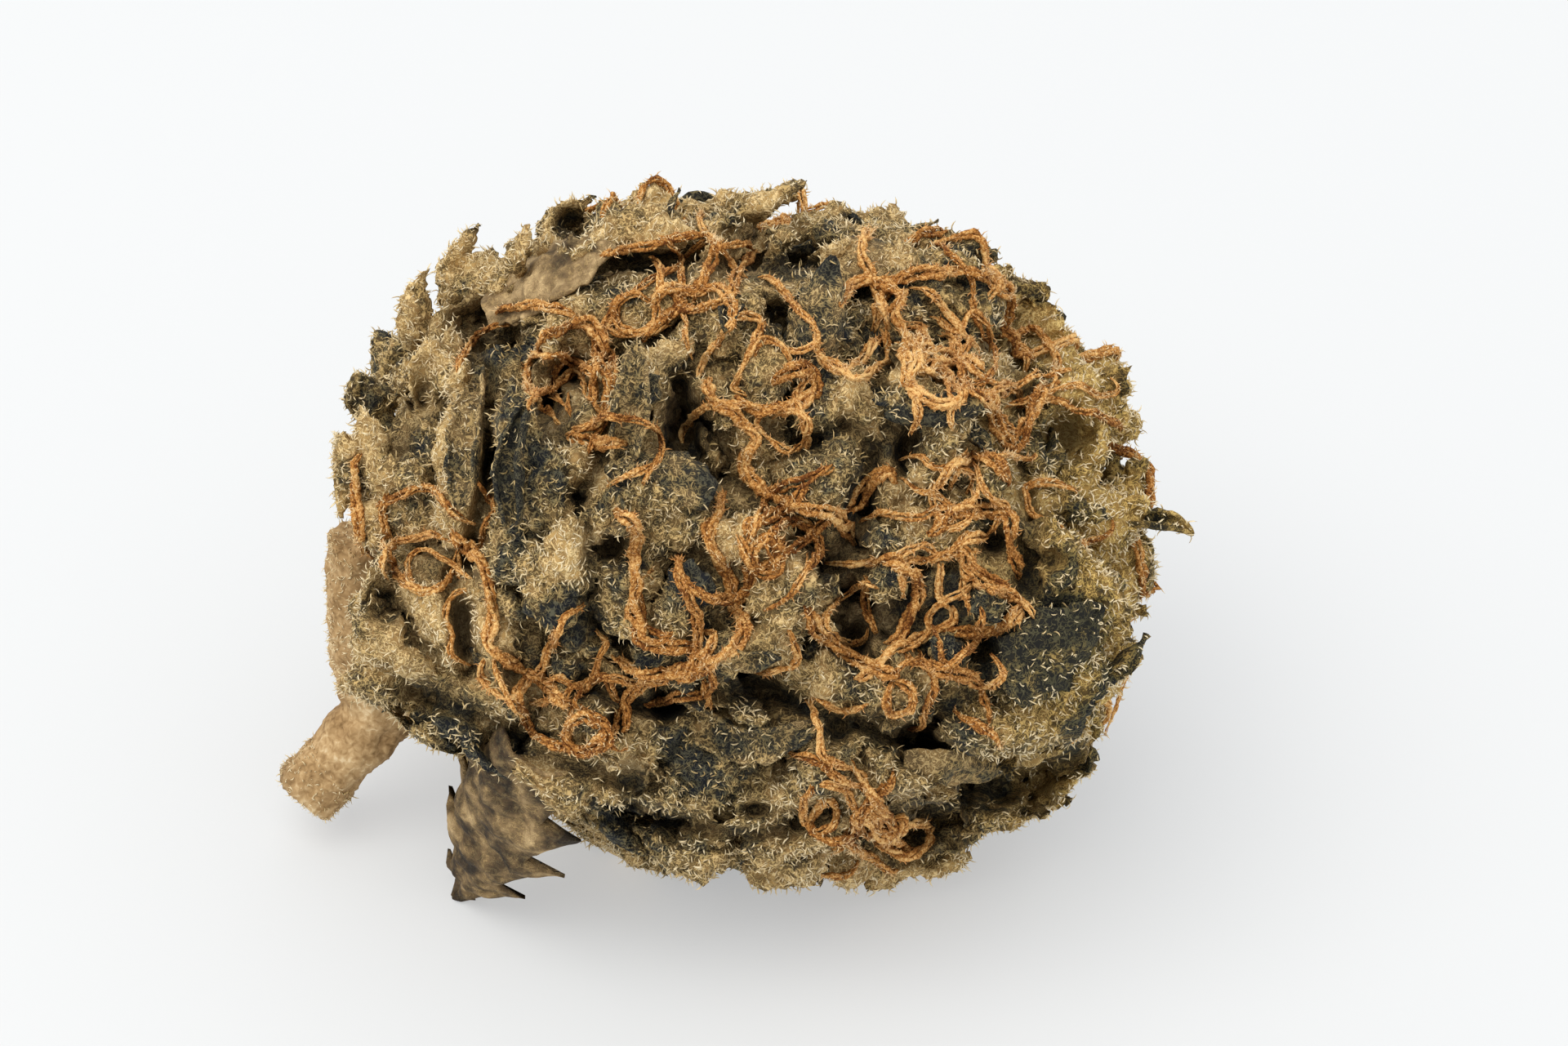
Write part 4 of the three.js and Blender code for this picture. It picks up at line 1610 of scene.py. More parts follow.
    def cover(
        self, label: str, slot: str, pieces: Sequence[Piece], share: float, kind: HairKind, skin: Material
    ) -> None:
        """Covers pieces with hairs, in groups small enough to export.

        Args:
            label: the start of the groups' names.
            slot: the record's material slot.
            pieces: what the hairs stand on.
            share: how close they stand, as a share of the usual.
            kind: their sizes.
            skin: their finish.
        """
        found = [self.sites(piece, share * self.density) for piece in pieces]
        spots = np.concatenate([f[0] for f in found])
        normals = np.concatenate([f[1] for f in found])
        age = tone_near(spots, self.clusters) + 0.4 * grain(spots, 0.9, 91)
        if slot != "pistil":  # young dark bracts have lost most of theirs
            kept = self.rng.random(len(spots)) < 0.35 + 1.3 * age
            spots, normals, age = spots[kept], normals[kept], age[kept]
        # painted shade: hairs that stand deep between the bracts get a darker tone
        painted_sunk_shade = np.clip(self.relief.depth(spots) - 0.5, 0, 1)
        tip = np.clip((seen_at(spots)[0] - 8) / 2, 0, 1)
        tone = 0.2 + 0.6 * age + 0.25 * tip - 0.25 * painted_sunk_shade + 0.45 * self.rng.random(len(spots))
        order = np.argsort(spots[:, 0])
        groups = np.array_split(order, max(1, math.ceil(len(order) / self.group)))
        for number, group in enumerate(groups, 1):
            piece = self.mesh(f"{label}_{number:02d}", spots[group], normals[group], kind, tone[group])
            finish_piece(piece, slot, skin)
        log.info("%s: %d hairs", label, len(spots))


# ---- The side that shows: what stands where ----

SHOWN_BRACTS = (
    # across, up, heading, length, width, age, rise, lift
    Bract(-3.1, 3.9, 92, 3.6, 2.0, 0.62, 30, 0.8),
    Bract(-2.9, 3.5, 80, 1.8, 1.1, 0.05, 30, 1.3),
    Bract(-7.4, 5.5, 150, 3.0, 2.6, 0.12, 50, 0.4),
    Bract(-9.0, 2.6, 90, 4.4, 2.2, 0.98, 15, 0.6),
    Bract(-8.9, 0.2, 95, 3.4, 2.0, 0.95, 20, 0.5),
    Bract(-7.0, 3.0, 100, 3.4, 1.5, 0.22, 25, 0.8),
    Bract(-6.4, 1.2, 60, 2.6, 2.2, 0.28, 45, 0.5),
    Bract(-2.6, 1.5, 200, 3.4, 2.0, 0.32, 20, 0.6),
    Bract(-4.2, 0.9, 250, 2.2, 1.7, 0.45, 45, 0.4),
    Bract(-5.2, 7.3, 20, 3.6, 2.6, 0.42, 20, 0.5),
    Bract(-2.9, 7.7, 10, 3.4, 2.4, 0.5, 20, 0.7),
    Bract(-0.2, 7.1, 70, 2.8, 2.1, 0.58, 35, 0.6),
    Bract(2.6, 6.3, 85, 4.2, 2.2, 0.28, 35, 0.7),
    Bract(3.9, 9.0, 20, 3.6, 2.2, 0.62, 25, 0.5),
    Bract(7.3, 7.2, 30, 3.4, 3.0, 0.32, 45, 0.8),
    Bract(5.2, 7.6, 120, 2.6, 2.0, 0.4, 40, 0.4),
    Bract(6.1, 3.9, 180, 3.2, 1.7, 0.16, 10, 0.8),
    Bract(10.2, 5.9, 80, 3.2, 2.8, 0.85, 35, 0.7),
    Bract(11.3, 3.6, 20, 3.0, 2.6, 1.0, 40, 0.5),
    Bract(9.3, 1.3, 60, 3.0, 2.4, 0.92, 35, 0.5),
    Bract(11.4, 1.0, 20, 3.0, 2.2, 0.95, 35, 0.5),
    Bract(6.2, 2.5, 70, 2.4, 1.8, 0.68, 45, 0.6),
    Bract(7.9, 1.7, 80, 1.8, 1.4, 0.36, 45, 0.7),
    Bract(2.4, 1.7, 40, 2.2, 1.9, 0.3, 45, 0.5),
    Bract(0.6, 3.3, 60, 2.8, 2.2, 0.55, 35, 0.5),
    Bract(3.6, 4.0, 80, 2.4, 2.0, 0.52, 40, 0.4),
    Bract(0.9, 5.4, 80, 2.4, 2.0, 0.45, 40, 0.4),
    Bract(-5.6, -0.8, 70, 2.6, 2.2, 0.85, 45, 0.6),
    Bract(-6.0, -2.5, 110, 2.0, 1.9, 0.02, 55, 0.5),
    Bract(-1.5, -1.7, 90, 1.9, 1.6, 0.02, 50, 0.7),
    Bract(-2.2, -3.0, 90, 2.2, 1.8, 0.5, 45, 0.3),
    Bract(-3.8, -2.6, 300, 2.2, 2.0, 0.55, 45, 0.3),
    Bract(1.3, -2.3, 60, 2.6, 2.2, 0.5, 40, 0.5),
    Bract(4.7, -1.3, 90, 2.2, 1.3, 0.36, 25, 0.7),
    Bract(7.7, -2.2, 80, 1.7, 1.2, 0.12, 45, 0.8),
    Bract(2.6, -4.6, 280, 3.0, 2.6, 0.52, 35, 0.4),
    Bract(5.4, -4.9, 290, 3.2, 2.8, 0.52, 35, 0.6),
    Bract(-9.4, -3.6, 140, 4.0, 3.6, 0.98, 30, 0.5),
    Bract(-6.8, -5.6, 250, 3.0, 2.4, 0.8, 35, 0.4),
    Bract(-4.6, -5.2, 280, 2.8, 2.2, 0.45, 40, 0.3),
    Bract(-9.0, -5.8, 230, 3.0, 2.4, 0.3, 30, 0.2),
    Bract(-5.6, -7.9, 200, 3.2, 2.2, 0.66, 30, 0.5),
    Bract(0.4, -5.6, 180, 3.4, 2.4, 0.5, 25, 0.5),
    Bract(-1.0, -7.6, 210, 4.2, 2.8, 0.14, 20, 0.4),
    Bract(2.9, -7.3, 260, 2.6, 2.2, 0.5, 40, 0.4),
    Bract(8.4, -6.4, 350, 4.4, 2.2, 0.66, 15, 0.6),
    Bract(10.3, -4.0, 45, 4.4, 3.0, 0.16, 15, 0.4),
    Bract(11.0, -6.6, 330, 2.8, 2.2, 0.2, 35, 0.2),
    Bract(11.6, -1.6, 330, 3.0, 2.4, 0.55, 40, 0.5),
    Bract(1.0, -9.6, 270, 3.0, 2.4, 0.6, 35, 0.3),
    Bract(8.6, -9.0, 320, 3.0, 2.2, 0.3, 35, 0.3),
)

HOLLOWS = (
    Hollow(9.35, 7.2, 0.8, 2.4, 1.3),
    Hollow(-4.7, 4.7, 0.3, 1.2),
    Hollow(1.2, 6.6, 0.35, 1.4, 1.6),
    Hollow(7.9, 6.0, 0.35, 1.2),
    Hollow(-9.9, 4.4, 0.3, 1.4, 2.0),
    Hollow(3.0, -6.2, 0.35, 1.4),
    Hollow(0.6, -8.6, 0.5, 1.4, 0.5),
    Hollow(9.6, -8.4, 0.6, 1.6, 0.8),
    Hollow(-7.6, -6.7, 0.4, 1.2, 0.6),
    Hollow(9.8, -0.8, 0.4, 1.4, 0.7),
    Hollow(-1.9, 3.4, 0.75, 2.4, 1.3),
    Hollow(-5.2, 5.2, 0.5, 2.0, 0.9),
    Hollow(-6.1, 4.1, 0.4, 1.6),
    Hollow(-7.85, 2.2, 0.28, 1.8, 5.0),
    Hollow(-8.4, -0.6, 0.3, 1.5, 2.0),
    Hollow(-8.6, -2.9, 0.35, 1.6, 3.0),
    Hollow(-11.0, -2.2, 0.55, 1.6, 1.2),
    Hollow(-7.1, -4.2, 0.3, 1.5, 1.6),
    Hollow(-2.3, -5.3, 0.45, 2.2, 1.6),
    Hollow(-3.9, -5.9, 0.35, 1.6),
    Hollow(5.7, -6.7, 0.75, 2.8, 1.3),
    Hollow(8.2, -7.9, 1.5, 2.4, 0.4),
    Hollow(-3.4, -7.7, 0.8, 1.8, 0.8),
    Hollow(5.6, -9.1, 1.5, 2.2, 0.8),
    Hollow(10.3, 3.1, 0.65, 2.4, 1.4),
    Hollow(5.3, 2.6, 0.45, 1.8, 1.2),
    Hollow(3.7, 0.4, 0.5, 1.8, 1.6),
    Hollow(8.0, -0.2, 0.5, 1.6, 0.8),
    Hollow(3.7, -3.3, 0.4, 1.5, 1.6),
    Hollow(2.1, 2.9, 0.4, 1.6, 0.6),
    Hollow(4.9, 5.6, 0.4, 1.4),
    Hollow(0.3, 9.3, 0.7, 1.6, 0.8),
    Hollow(-4.0, -0.3, 0.3, 1.5, 1.6),
    Hollow(7.5, -3.6, 0.4, 1.4),
    Hollow(-0.4, -6.5, 0.4, 1.2, 0.7),
    Hollow(-5.2, 9.6, 0.6, 1.4),
)

GROOVES = (
    Groove(((-8.2, 5.6), (-7.9, 3.5), (-8.0, 1.5), (-8.3, -0.5)), 0.3, 1.2),
    Groove(((-9.0, -1.5), (-8.8, -3.0), (-8.3, -4.2)), 0.3, 1.2),
    Groove(((-10.2, -4.9), (-8.2, -5.7), (-6.4, -6.9), (-4.2, -7.4)), 0.38, 1.3),
    Groove(((-4.8, -4.6), (-3.0, -5.4), (-2.0, -5.2), (0.5, -4.9), (2.6, -5.6), (4.6, -6.1), (6.0, -6.8)), 0.36, 1.4),
    Groove(((6.0, -6.8), (8.2, -7.7), (11.0, -7.0)), 0.5, 1.9),
    Groove(((9.3, 7.6), (8.8, 5.9), (8.9, 3.9)), 0.4, 1.8),
    Groove(((8.8, 2.2), (9.2, 0.4), (9.0, -1.6)), 0.28, 1.0),
    Groove(((-8.6, 6.6), (-6.0, 7.6), (-4.2, 8.2), (-1.5, 8.5), (1.2, 8.3), (2.6, 8.4), (4.0, 8.0)), 0.42, 1.6),
    Groove(((-1.9, 4.6), (-1.8, 3.0), (-1.2, 2.0), (0.2, 1.6)), 0.32, 1.3),
    Groove(((-6.4, 5.2), (-5.0, 4.9), (-4.2, 3.9), (-4.3, 2.4), (-5.1, 1.2)), 0.28, 1.0),
    Groove(((1.6, -0.2), (3.0, -0.8), (3.9, 0.6), (4.2, 2.6), (3.3, 3.6)), 0.28, 1.0),
    Groove(((-3.3, -8.6), (0.2, -9.4), (2.9, -8.6)), 0.35, 1.3),
    Groove(((-4.7, 0.2), (-4.6, -1.8), (-4.4, -3.2)), 0.24, 0.8),
    Groove(((0.8, 3.4), (2.2, 3.0), (3.2, 3.4)), 0.26, 0.9),
    Groove(((3.4, -2.0), (3.2, -3.0), (4.2, -4.0)), 0.26, 0.9),
)

GAPS: tuple[Gap, ...] = (*HOLLOWS, *GROOVES)

# Each flat side of the outline: the way it faces, in degrees round from the right, and how far out it is.
FLATS = (
    (180, 12.5), (236, 11.0), (239, 10.1), (270, 11.4), (322, 13.0), (0, 12.9), (28, 13.1), (90, 11.2), (131, 12.7),
)


TANGLES = (
    Tangle(5.8, 6.7, 1.5, 11, 0.42, 0.72),
    Tangle(7.7, 7.3, 1.2, 7, 0.26, 0.5),
    Tangle(0.5, -0.6, 0.9, 6, 0.4, 0.35),
    Tangle(7.4, -1.0, 1.3, 8, 0.36, 0.55),
    Tangle(3.7, -8.7, 1.6, 10, 0.42, 0.55),
    Tangle(-4.8, -6.3, 0.9, 4, 0.4, 0.4),
    Tangle(1.4, 4.9, 1.2, 6, 0.34, 0.6),
    Tangle(-5.0, 6.0, 1.0, 4, 0.34, 0.5),
    Tangle(-2.3, 7.3, 0.7, 4, 0.4, 0.5),
    Tangle(-5.1, 3.6, 0.8, 4, 0.34, 0.5),
    Tangle(4.7, -3.9, 1.2, 6, 0.34, 0.45),
    Tangle(-1.6, -3.9, 1.3, 6, 0.34, 0.4),
    Tangle(9.0, 4.0, 0.9, 5, 0.34, 0.6),
    Tangle(7.0, 2.0, 0.9, 4, 0.3, 0.55),
    Tangle(-8.6, -0.9, 1.0, 4, 0.3, 0.5),
    Tangle(-11.9, 0.6, 1.0, 4, 0.34, 0.5),
    Tangle(-1.5, 8.9, 1.6, 5, 0.3, 0.45),
    Tangle(-6.8, -4.6, 1.0, 4, 0.3, 0.6),
)

SUGAR_LEAVES = (
    Blade(((-8.6, 0.9), (-8.3, 3.0), (-7.9, 5.2)), 1.7, 0.9, (0.2, 0.5), 0.6),
    Blade(((-6.9, 0.4), (-6.9, 2.2), (-6.4, 4.2)), 1.6, 1.1, (0.4, 0.9), 0.2),
    Blade(((-3.5, 2.3), (-3.2, 4.0), (-3.1, 5.8)), 1.7, 0.9, (0.3, 0.9), 0.5),
    Blade(((-0.8, 1.2), (-2.4, 1.9), (-4.1, 2.0)), 1.9, -0.5, (0.4, 0.6), 0.3),
    Blade(((2.3, 4.9), (2.5, 6.6), (2.8, 8.3)), 2.0, -0.7, (0.4, 1.1), 0.35),
    Blade(((7.5, 4.1), (6.2, 3.9), (4.5, 3.7)), 1.8, -1.1, (0.5, 0.5), 0.15),
    Blade(((8.4, -5.0), (9.6, -3.9), (11.2, -2.2)), 3.4, -0.45, (0.5, 0.6), 0.06),
    Blade(((-1.6, -5.5), (0.3, -6.3), (2.6, -5.7)), 1.7, 0.7, (0.3, 0.6), 0.4),
    Blade(((5.2, -7.3), (7.9, -7.5), (10.2, -6.6)), 1.5, -0.5, (0.1, 0.1), 0.62),
    Blade(((-8.0, 7.0), (-6.2, 8.2), (-3.9, 9.1)), 2.9, -0.2, (0.1, 0.3), 0.7, bare=True),
    Blade(((2.6, 8.9), (4.3, 8.8), (6.2, 8.2)), 2.0, -0.3, (-0.1, 0.1), 0.74),
)

PISTIL_ROUTES = (
    ((-1.0, 5.1), (-0.9, 4.3), (-0.1, 3.7), (0.5, 3.0), (0.2, 2.1), (0.9, 1.2), (2.0, 0.9), (3.1, 0.5), (3.7, -0.4)),
    ((-0.3, 4.5), (0.6, 3.9), (1.6, 4.0), (2.4, 4.6), (2.1, 5.2), (1.0, 4.9)),
    ((-4.0, 0.8), (-3.2, 0.1), (-3.3, -1.3), (-3.3, -2.5), (-2.9, -3.4), (-1.2, -3.5)),
    ((-4.1, -3.8), (-2.8, -4.3), (-1.3, -4.3), (0.1, -3.1), (-0.3, -1.4), (-0.9, 0.0), (-0.5, 1.4)),
    ((4.0, -0.9), (4.9, -0.8), (5.6, -1.6), (5.3, -2.8), (4.7, -3.5)),
    ((2.1, -2.2), (2.6, -3.2), (3.6, -3.9), (4.5, -4.3), (5.2, -4.5)),
    ((6.2, 1.4), (6.9, 2.2), (7.8, 2.4), (8.6, 1.6)),
    ((5.9, -0.1), (6.6, 0.6), (7.6, 0.8), (8.5, 0.4), (8.6, -0.7), (8.9, -1.4)),
    ((7.8, 4.8), (8.0, 3.7), (8.6, 2.8), (9.1, 3.6), (9.7, 5.0)),
    ((4.3, 6.6), (4.7, 7.8), (6.0, 8.2), (7.6, 8.1), (8.8, 7.2)),
    ((-9.2, 0.2), (-8.1, -0.9), (-7.7, -2.3), (-7.8, -3.5), (-6.5, -4.4), (-5.2, -5.5)),
    ((-6.5, 5.8), (-5.6, 6.4), (-4.7, 6.6), (-4.0, 5.4)),
    ((-5.6, 3.2), (-4.6, 2.9), (-3.6, 2.9)),
    ((6.3, -3.0), (7.4, -3.1), (8.4, -2.8), (9.0, -2.2)),
    ((3.5, 0.6), (3.9, 1.4), (4.6, 2.0), (5.1, 1.5)),
)

FINE_ROUTES = (
    # path, width, age
    (((4.0, -1.1), (4.0, -2.2), (4.4, -3.2)), 0.36, 0.55),
    (((2.2, -0.6), (1.7, -1.8), (0.6, -2.5)), 0.26, 0.5),
    (((1.5, -2.9), (1.8, -4.0), (0.3, -4.4)), 0.34, 0.5),
    (((6.2, -2.9), (6.4, -4.0), (7.3, -4.3)), 0.36, 0.3),
    (((6.4, -0.6), (6.3, -1.8), (6.9, -2.6)), 0.4, 0.65),
    (((7.0, -0.9), (7.1, -2.0), (7.4, -2.6)), 0.34, 0.7),
    (((7.6, -1.2), (8.3, -1.6), (8.6, -2.0)), 0.4, 0.55),
    (((5.1, 6.8), (5.3, 5.6), (5.2, 4.5)), 0.42, 0.75),
    (((5.4, 7.9), (5.0, 6.9), (5.4, 6.2)), 0.55, 0.72),
    (((5.6, 6.6), (5.7, 5.3), (6.5, 4.8)), 0.5, 0.68),
    (((6.0, 5.9), (7.0, 5.6), (7.9, 5.0)), 0.5, 0.7),
    (((6.0, 7.1), (6.8, 6.4), (7.4, 7.0), (8.1, 6.0)), 0.32, 0.55),
    (((6.4, 5.2), (7.0, 6.3), (7.6, 5.6)), 0.3, 0.6),
    (((-7.8, -3.7), (-7.4, -4.8), (-6.9, -5.9)), 0.28, 0.6),
    (((-5.2, -5.4), (-5.4, -6.6)), 0.42, 0.45),
    (((-5.1, -5.5), (-4.2, -6.0), (-4.5, -7.0)), 0.46, 0.4),
    (((-4.4, -6.4), (-3.6, -6.9)), 0.34, 0.4),
    (((-6.8, 5.0), (-6.3, 4.2), (-5.6, 3.4)), 0.36, 0.55),
    (((-5.5, 4.6), (-5.3, 3.6)), 0.3, 0.5),
    (((-2.3, 7.9), (-1.9, 7.2), (-2.5, 6.6), (-3.1, 6.3)), 0.55, 0.5),
    (((-4.6, 8.8), (-3.2, 9.0), (-2.0, 9.3), (-0.8, 9.5)), 0.4, 0.45),
    (((-7.9, 7.0), (-6.4, 7.2), (-5.0, 6.9)), 0.4, 0.42),
    (((-9.0, 4.9), (-8.4, 6.0), (-7.4, 6.8)), 0.34, 0.4),
    (((3.5, -7.2), (4.4, -8.5), (4.1, -9.8)), 0.5, 0.55),
    (((5.0, -7.4), (3.8, -8.8), (2.9, -10.2)), 0.46, 0.5),
    (((3.2, -9.6), (4.6, -10.4), (5.6, -11.2)), 0.42, 0.5),
    (((3.9, -10.6), (2.6, -10.9), (1.6, -11.4)), 0.4, 0.5),
    (((4.2, -5.4), (3.1, -5.5), (2.2, -5.0)), 0.36, 0.62),
    (((-12.2, 2.6), (-12.0, 0.8), (-11.8, -0.8)), 0.5, 0.55),
    (((-11.3, 1.4), (-11.0, -0.4)), 0.4, 0.55),
    (((-0.1, 0.1), (0.4, -0.9), (1.2, -0.8)), 0.5, 0.45),
    (((0.0, -0.6), (0.9, -0.2), (1.6, -0.3)), 0.4, 0.42),
    (((-0.4, -2.6), (0.3, -1.6), (0.2, -0.8)), 0.5, 0.3),
    (((-4.3, 1.5), (-3.4, 1.9), (-2.4, 2.3)), 0.28, 0.6),
    (((6.9, -5.6), (7.8, -6.2), (8.3, -6.9)), 0.4, 0.45),
    (((-9.0, -0.3), (-8.8, -1.6)), 0.4, 0.5),
    (((-1.2, -4.4), (-0.9, -5.6)), 0.36, 0.45),
    (((8.0, 0.0), (7.0, -0.3), (6.2, -0.8)), 0.34, 0.5),
)


LOOSE_ROUTE = ((11.5, -6.3), (11.8, -5.3), (12.1, -4.5), (12.2, -4.0), (12.6, -3.9))


# ---- Sub-assemblies ----


@dataclass
class Leafage:
    """The sugar leaves that show, the hanging leaf and the rolled tip."""

    ground: Ground
    relief: Relief
    material: Material
    brown: Material
    bed: float = 0.2  # how far a blade's sides sink between the bracts, mm
    built: list[Piece] = field(default_factory=list)
    bare: list[Piece] = field(default_factory=list)

    def keep(self, piece: Piece, age: float, node: str, bare: bool = False) -> None:
        """Gives a leaf its tones and its painted shade where it lies deep, and puts it in line to be finished.

        Args:
            piece: the blade.
            age: 0 is dark, 1 is pale.
            node: the CAD node that it stands for.
            bare: true for a brown one with no resin hairs.
        """
        points = vertex_array(piece.data)
        set_attribute(piece.data, "age", np.clip(age + 0.18 * grain(points, 0.9, 31), 0, 1))
        # painted shade: darker where the leaf lies deep between the bracts
        set_attribute(piece.data, "painted_shade_and_cut_dark", np.clip((self.relief.depth(points) - 1.2) / 2.5, 0, 0.8))
        (self.bare if bare else self.built).append(piece)
        BENCH.append(Waiting(piece, "leaf", self.brown if bare else self.material, (node,)))

    def sugar(self, number: int, blade: Blade) -> None:
        """Lays one sugar leaf over the clusters.

        Args:
            number: the leaf's number.
            blade: where it runs and its sizes.
        """
        points, facing = lay_seen(self.ground, blade.path, 0.17, 0, 5)
        rise = np.linspace(blade.lift[0], blade.lift[1], len(points))[:, None] - self.bed
        piece = blade_mesh(f"sugar_leaf_{number:02d}_blade", points + facing * rise, facing, blade, 50 + number)
        self.keep(piece, blade.age, f"sugar_leaf_{number:02d}", blade.bare)

    def hanging(self) -> None:
        """Hangs the brown leaf at the lower front, with its tip on the surface."""
        root, _, _ = self.ground.seen(-6.9, -7.0)
        ray = unit(VIEW.place(-8.9, -11.3) - VIEW.eye)
        tip = VIEW.eye + ray * (0.15 - VIEW.eye[2]) / ray[2]
        middle = 0.55 * root + 0.45 * tip + 0.7 * VIEW.out
        spine = smooth_path(np.array([root, middle, tip]), 0.13)
        facing = np.repeat(unit(VIEW.out - 0.3 * RIGHT)[None], len(spine), axis=0)
        blade = Blade((), 5.9, -0.4, age=0.4, teeth=0.8, notches=4.2, taper=0.8)
        piece = blade_mesh("hanging_leaf_blade", spine, facing, blade, 71)
        points = vertex_array(piece.data)
        points[:, 2] = np.maximum(points[:, 2], CLEAR_OF_FLOOR)
        set_vertices(piece.data, points)
        self.keep(piece, blade.age, "hanging_leaf", bare=True)

    def tip(self) -> None:
        """Rolls the short leaf that sticks out at the far end."""
        low, high = (np.array(corner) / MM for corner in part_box("tip_leaf"))
        middle = (low + high) / 2 + np.array([0, 0, 0.75])
        spine = smooth_path(np.array([[low[0] - 0.6, *middle[1:]], middle, [high[0], middle[1], high[2] - 0.1]]), 0.12)
        facing = np.repeat(unit(np.array([[0.0, -0.5, 0.9]])), len(spine), axis=0)
        piece = blade_mesh("tip_leaf_blade", spine, facing, Blade((), 1.1, 1.2), 83)
        self.keep(piece, 0.45, "tip_leaf")


def leaflet_template(curl: float) -> tuple[Array, Array]:
    """Models one leaflet, a unit long along +Y and facing +Z, pointed, folded and curled.

    Args:
        curl: how far its tip curls up.

    Returns:
        Its vertices and its faces.
    """
    deselect_all()
    bpy.ops.mesh.primitive_grid_add(x_subdivisions=4, y_subdivisions=7, size=1, location=(0, 0.5, 0))
    leaflet = bpy.context.active_object
    bpy.ops.object.transform_apply(location=True)
    points = vertex_array(leaflet.data)
    along = points[:, 1]
    half = 0.3 * np.sin(math.pi * (0.14 + 0.86 * along**0.8)) ** 0.8 + 0.015
    across = points[:, 0] * 2
    points[:, 0] = across * half
    points[:, 2] = 0.22 * np.abs(across) * half / 0.3 + curl * along**2 + 0.05 * np.sin(9 * along + 3 * across)
    set_vertices(leaflet.data, points)
    apply_modifier(leaflet, "SOLIDIFY", thickness=0.05, offset=0)
    points, faces = vertex_array(leaflet.data), triangle_array(leaflet.data)
    bpy.data.objects.remove(leaflet)
    return points, faces


@dataclass
class Leaflets:
    """Small leaf tips that stick out between the bracts all over the bud."""

    ground: Ground
    relief: Relief
    material: Material
    rng: np.random.Generator
    count: int = 130
    parts: int = 3
    built: list[Piece] = field(default_factory=list)

    def scatter(self) -> None:
        """Plants the leaflets and joins them into a few pieces along the bud."""
        templates = [leaflet_template(curl) for curl in (-0.25, 0.1, 0.35, 0.6)]
        grown: list[tuple[Array, Array, float]] = []
        for direction in spread_directions(self.count):
            chance = self.rng.random(5)
            found = self.ground.outwards(unit(direction * np.array([1.15, 1, 1]) + 0.1 * self.rng.normal(size=3)))
            if found is None or found[0][2] < 2.5 or found[0][0] < -9.5:
                continue
            spot, normal, _ = found
            outward = unit(0.6 * normal + unit(spot - CORE))
            along = np.array([0.7, 0, 0]) + 0.9 * self.rng.normal(size=3)
            along = unit(unit(along - outward * (along @ outward)) + outward * 0.5 * chance[0])
            side = unit(np.cross(along, outward))
            face = np.cross(side, along)
            length = 0.9 + 1.1 * chance[1]
            width = length * (0.6 + 0.6 * chance[2])
            points, faces = templates[int(chance[3] * len(templates))]
            shaped = points * np.array([width, length, length])
            shaped = spot - 0.35 * outward + shaped[:, :1] * side + shaped[:, 1:2] * along + shaped[:, 2:] * face
            shaped += 0.09 * grains(shaped, 0.5, 21)
            shaped[:, 2] = np.maximum(shaped[:, 2], CLEAR_OF_FLOOR)
            grown.append((shaped, faces, 0.15 + 0.7 * chance[4]))
        grown.sort(key=lambda item: float(item[0][0, 0]))
        size = math.ceil(len(grown) / self.parts)
        for number in range(self.parts):
            self.gather(grown[number * size : (number + 1) * size], f"leaflets_{number + 1}")

    def gather(self, grown: Sequence[tuple[Array, Array, float]], name: str) -> None:
        """Joins some leaflets into one piece.

        Args:
            grown: each leaflet's vertices, faces and age.
            name: the piece's name.
        """
        starts = np.cumsum([0] + [len(points) for points, _, _ in grown])
        points = np.concatenate([item[0] for item in grown])
        faces = np.concatenate([item[1] + start for item, start in zip(grown, starts)])
        piece = new_piece(name, points, faces)
        turn_outwards(piece)
        ages = np.concatenate([np.full(len(item[0]), item[2]) for item in grown])
        set_attribute(piece.data, "age", ages)
        # painted shade: darker where a leaflet lies deep between the bracts
        set_attribute(piece.data, "painted_shade_and_cut_dark", np.clip((self.relief.depth(points) - 1.4) / 2.5, 0, 0.8))
        self.built.append(piece)
        BENCH.append(Waiting(piece, "leaf", self.material))


@dataclass
class Stem:
    """The cut woody stem and its side spur."""

    material: Material
    voxel: float = 0.16  # how fine its skin is
    cut_dark_reach: float = 0.8  # how far from the cut the bark is darker

    def build(self) -> Piece:
        """Copies the stem's shape, rounds it and gives it fibrous bark.

        Returns:
            The stem, in millimetres.
        """
        stem = bare_copy("stem", "stem_bark")
        apply_modifier(stem, "REMESH", mode="VOXEL", voxel_size=self.voxel, use_smooth_shade=True)
        roughen(stem, 0.9, 0.42)
        roughen(stem, 0.28, 0.16)
        points = vertex_array(stem.data)
        points[:, 2] = np.maximum(points[:, 2], CLEAR_OF_FLOOR)
        set_vertices(stem.data, points)
        low = points[:, 0].min()
        cut = np.clip(1 - (points[:, 0] - low) / self.cut_dark_reach, 0, 1)
        # the bark is darker towards the cut end
        set_attribute(stem.data, "painted_shade_and_cut_dark", 0.35 * cut)
        BENCH.append(Waiting(stem, "stem", self.material, ("stem",)))
        return stem


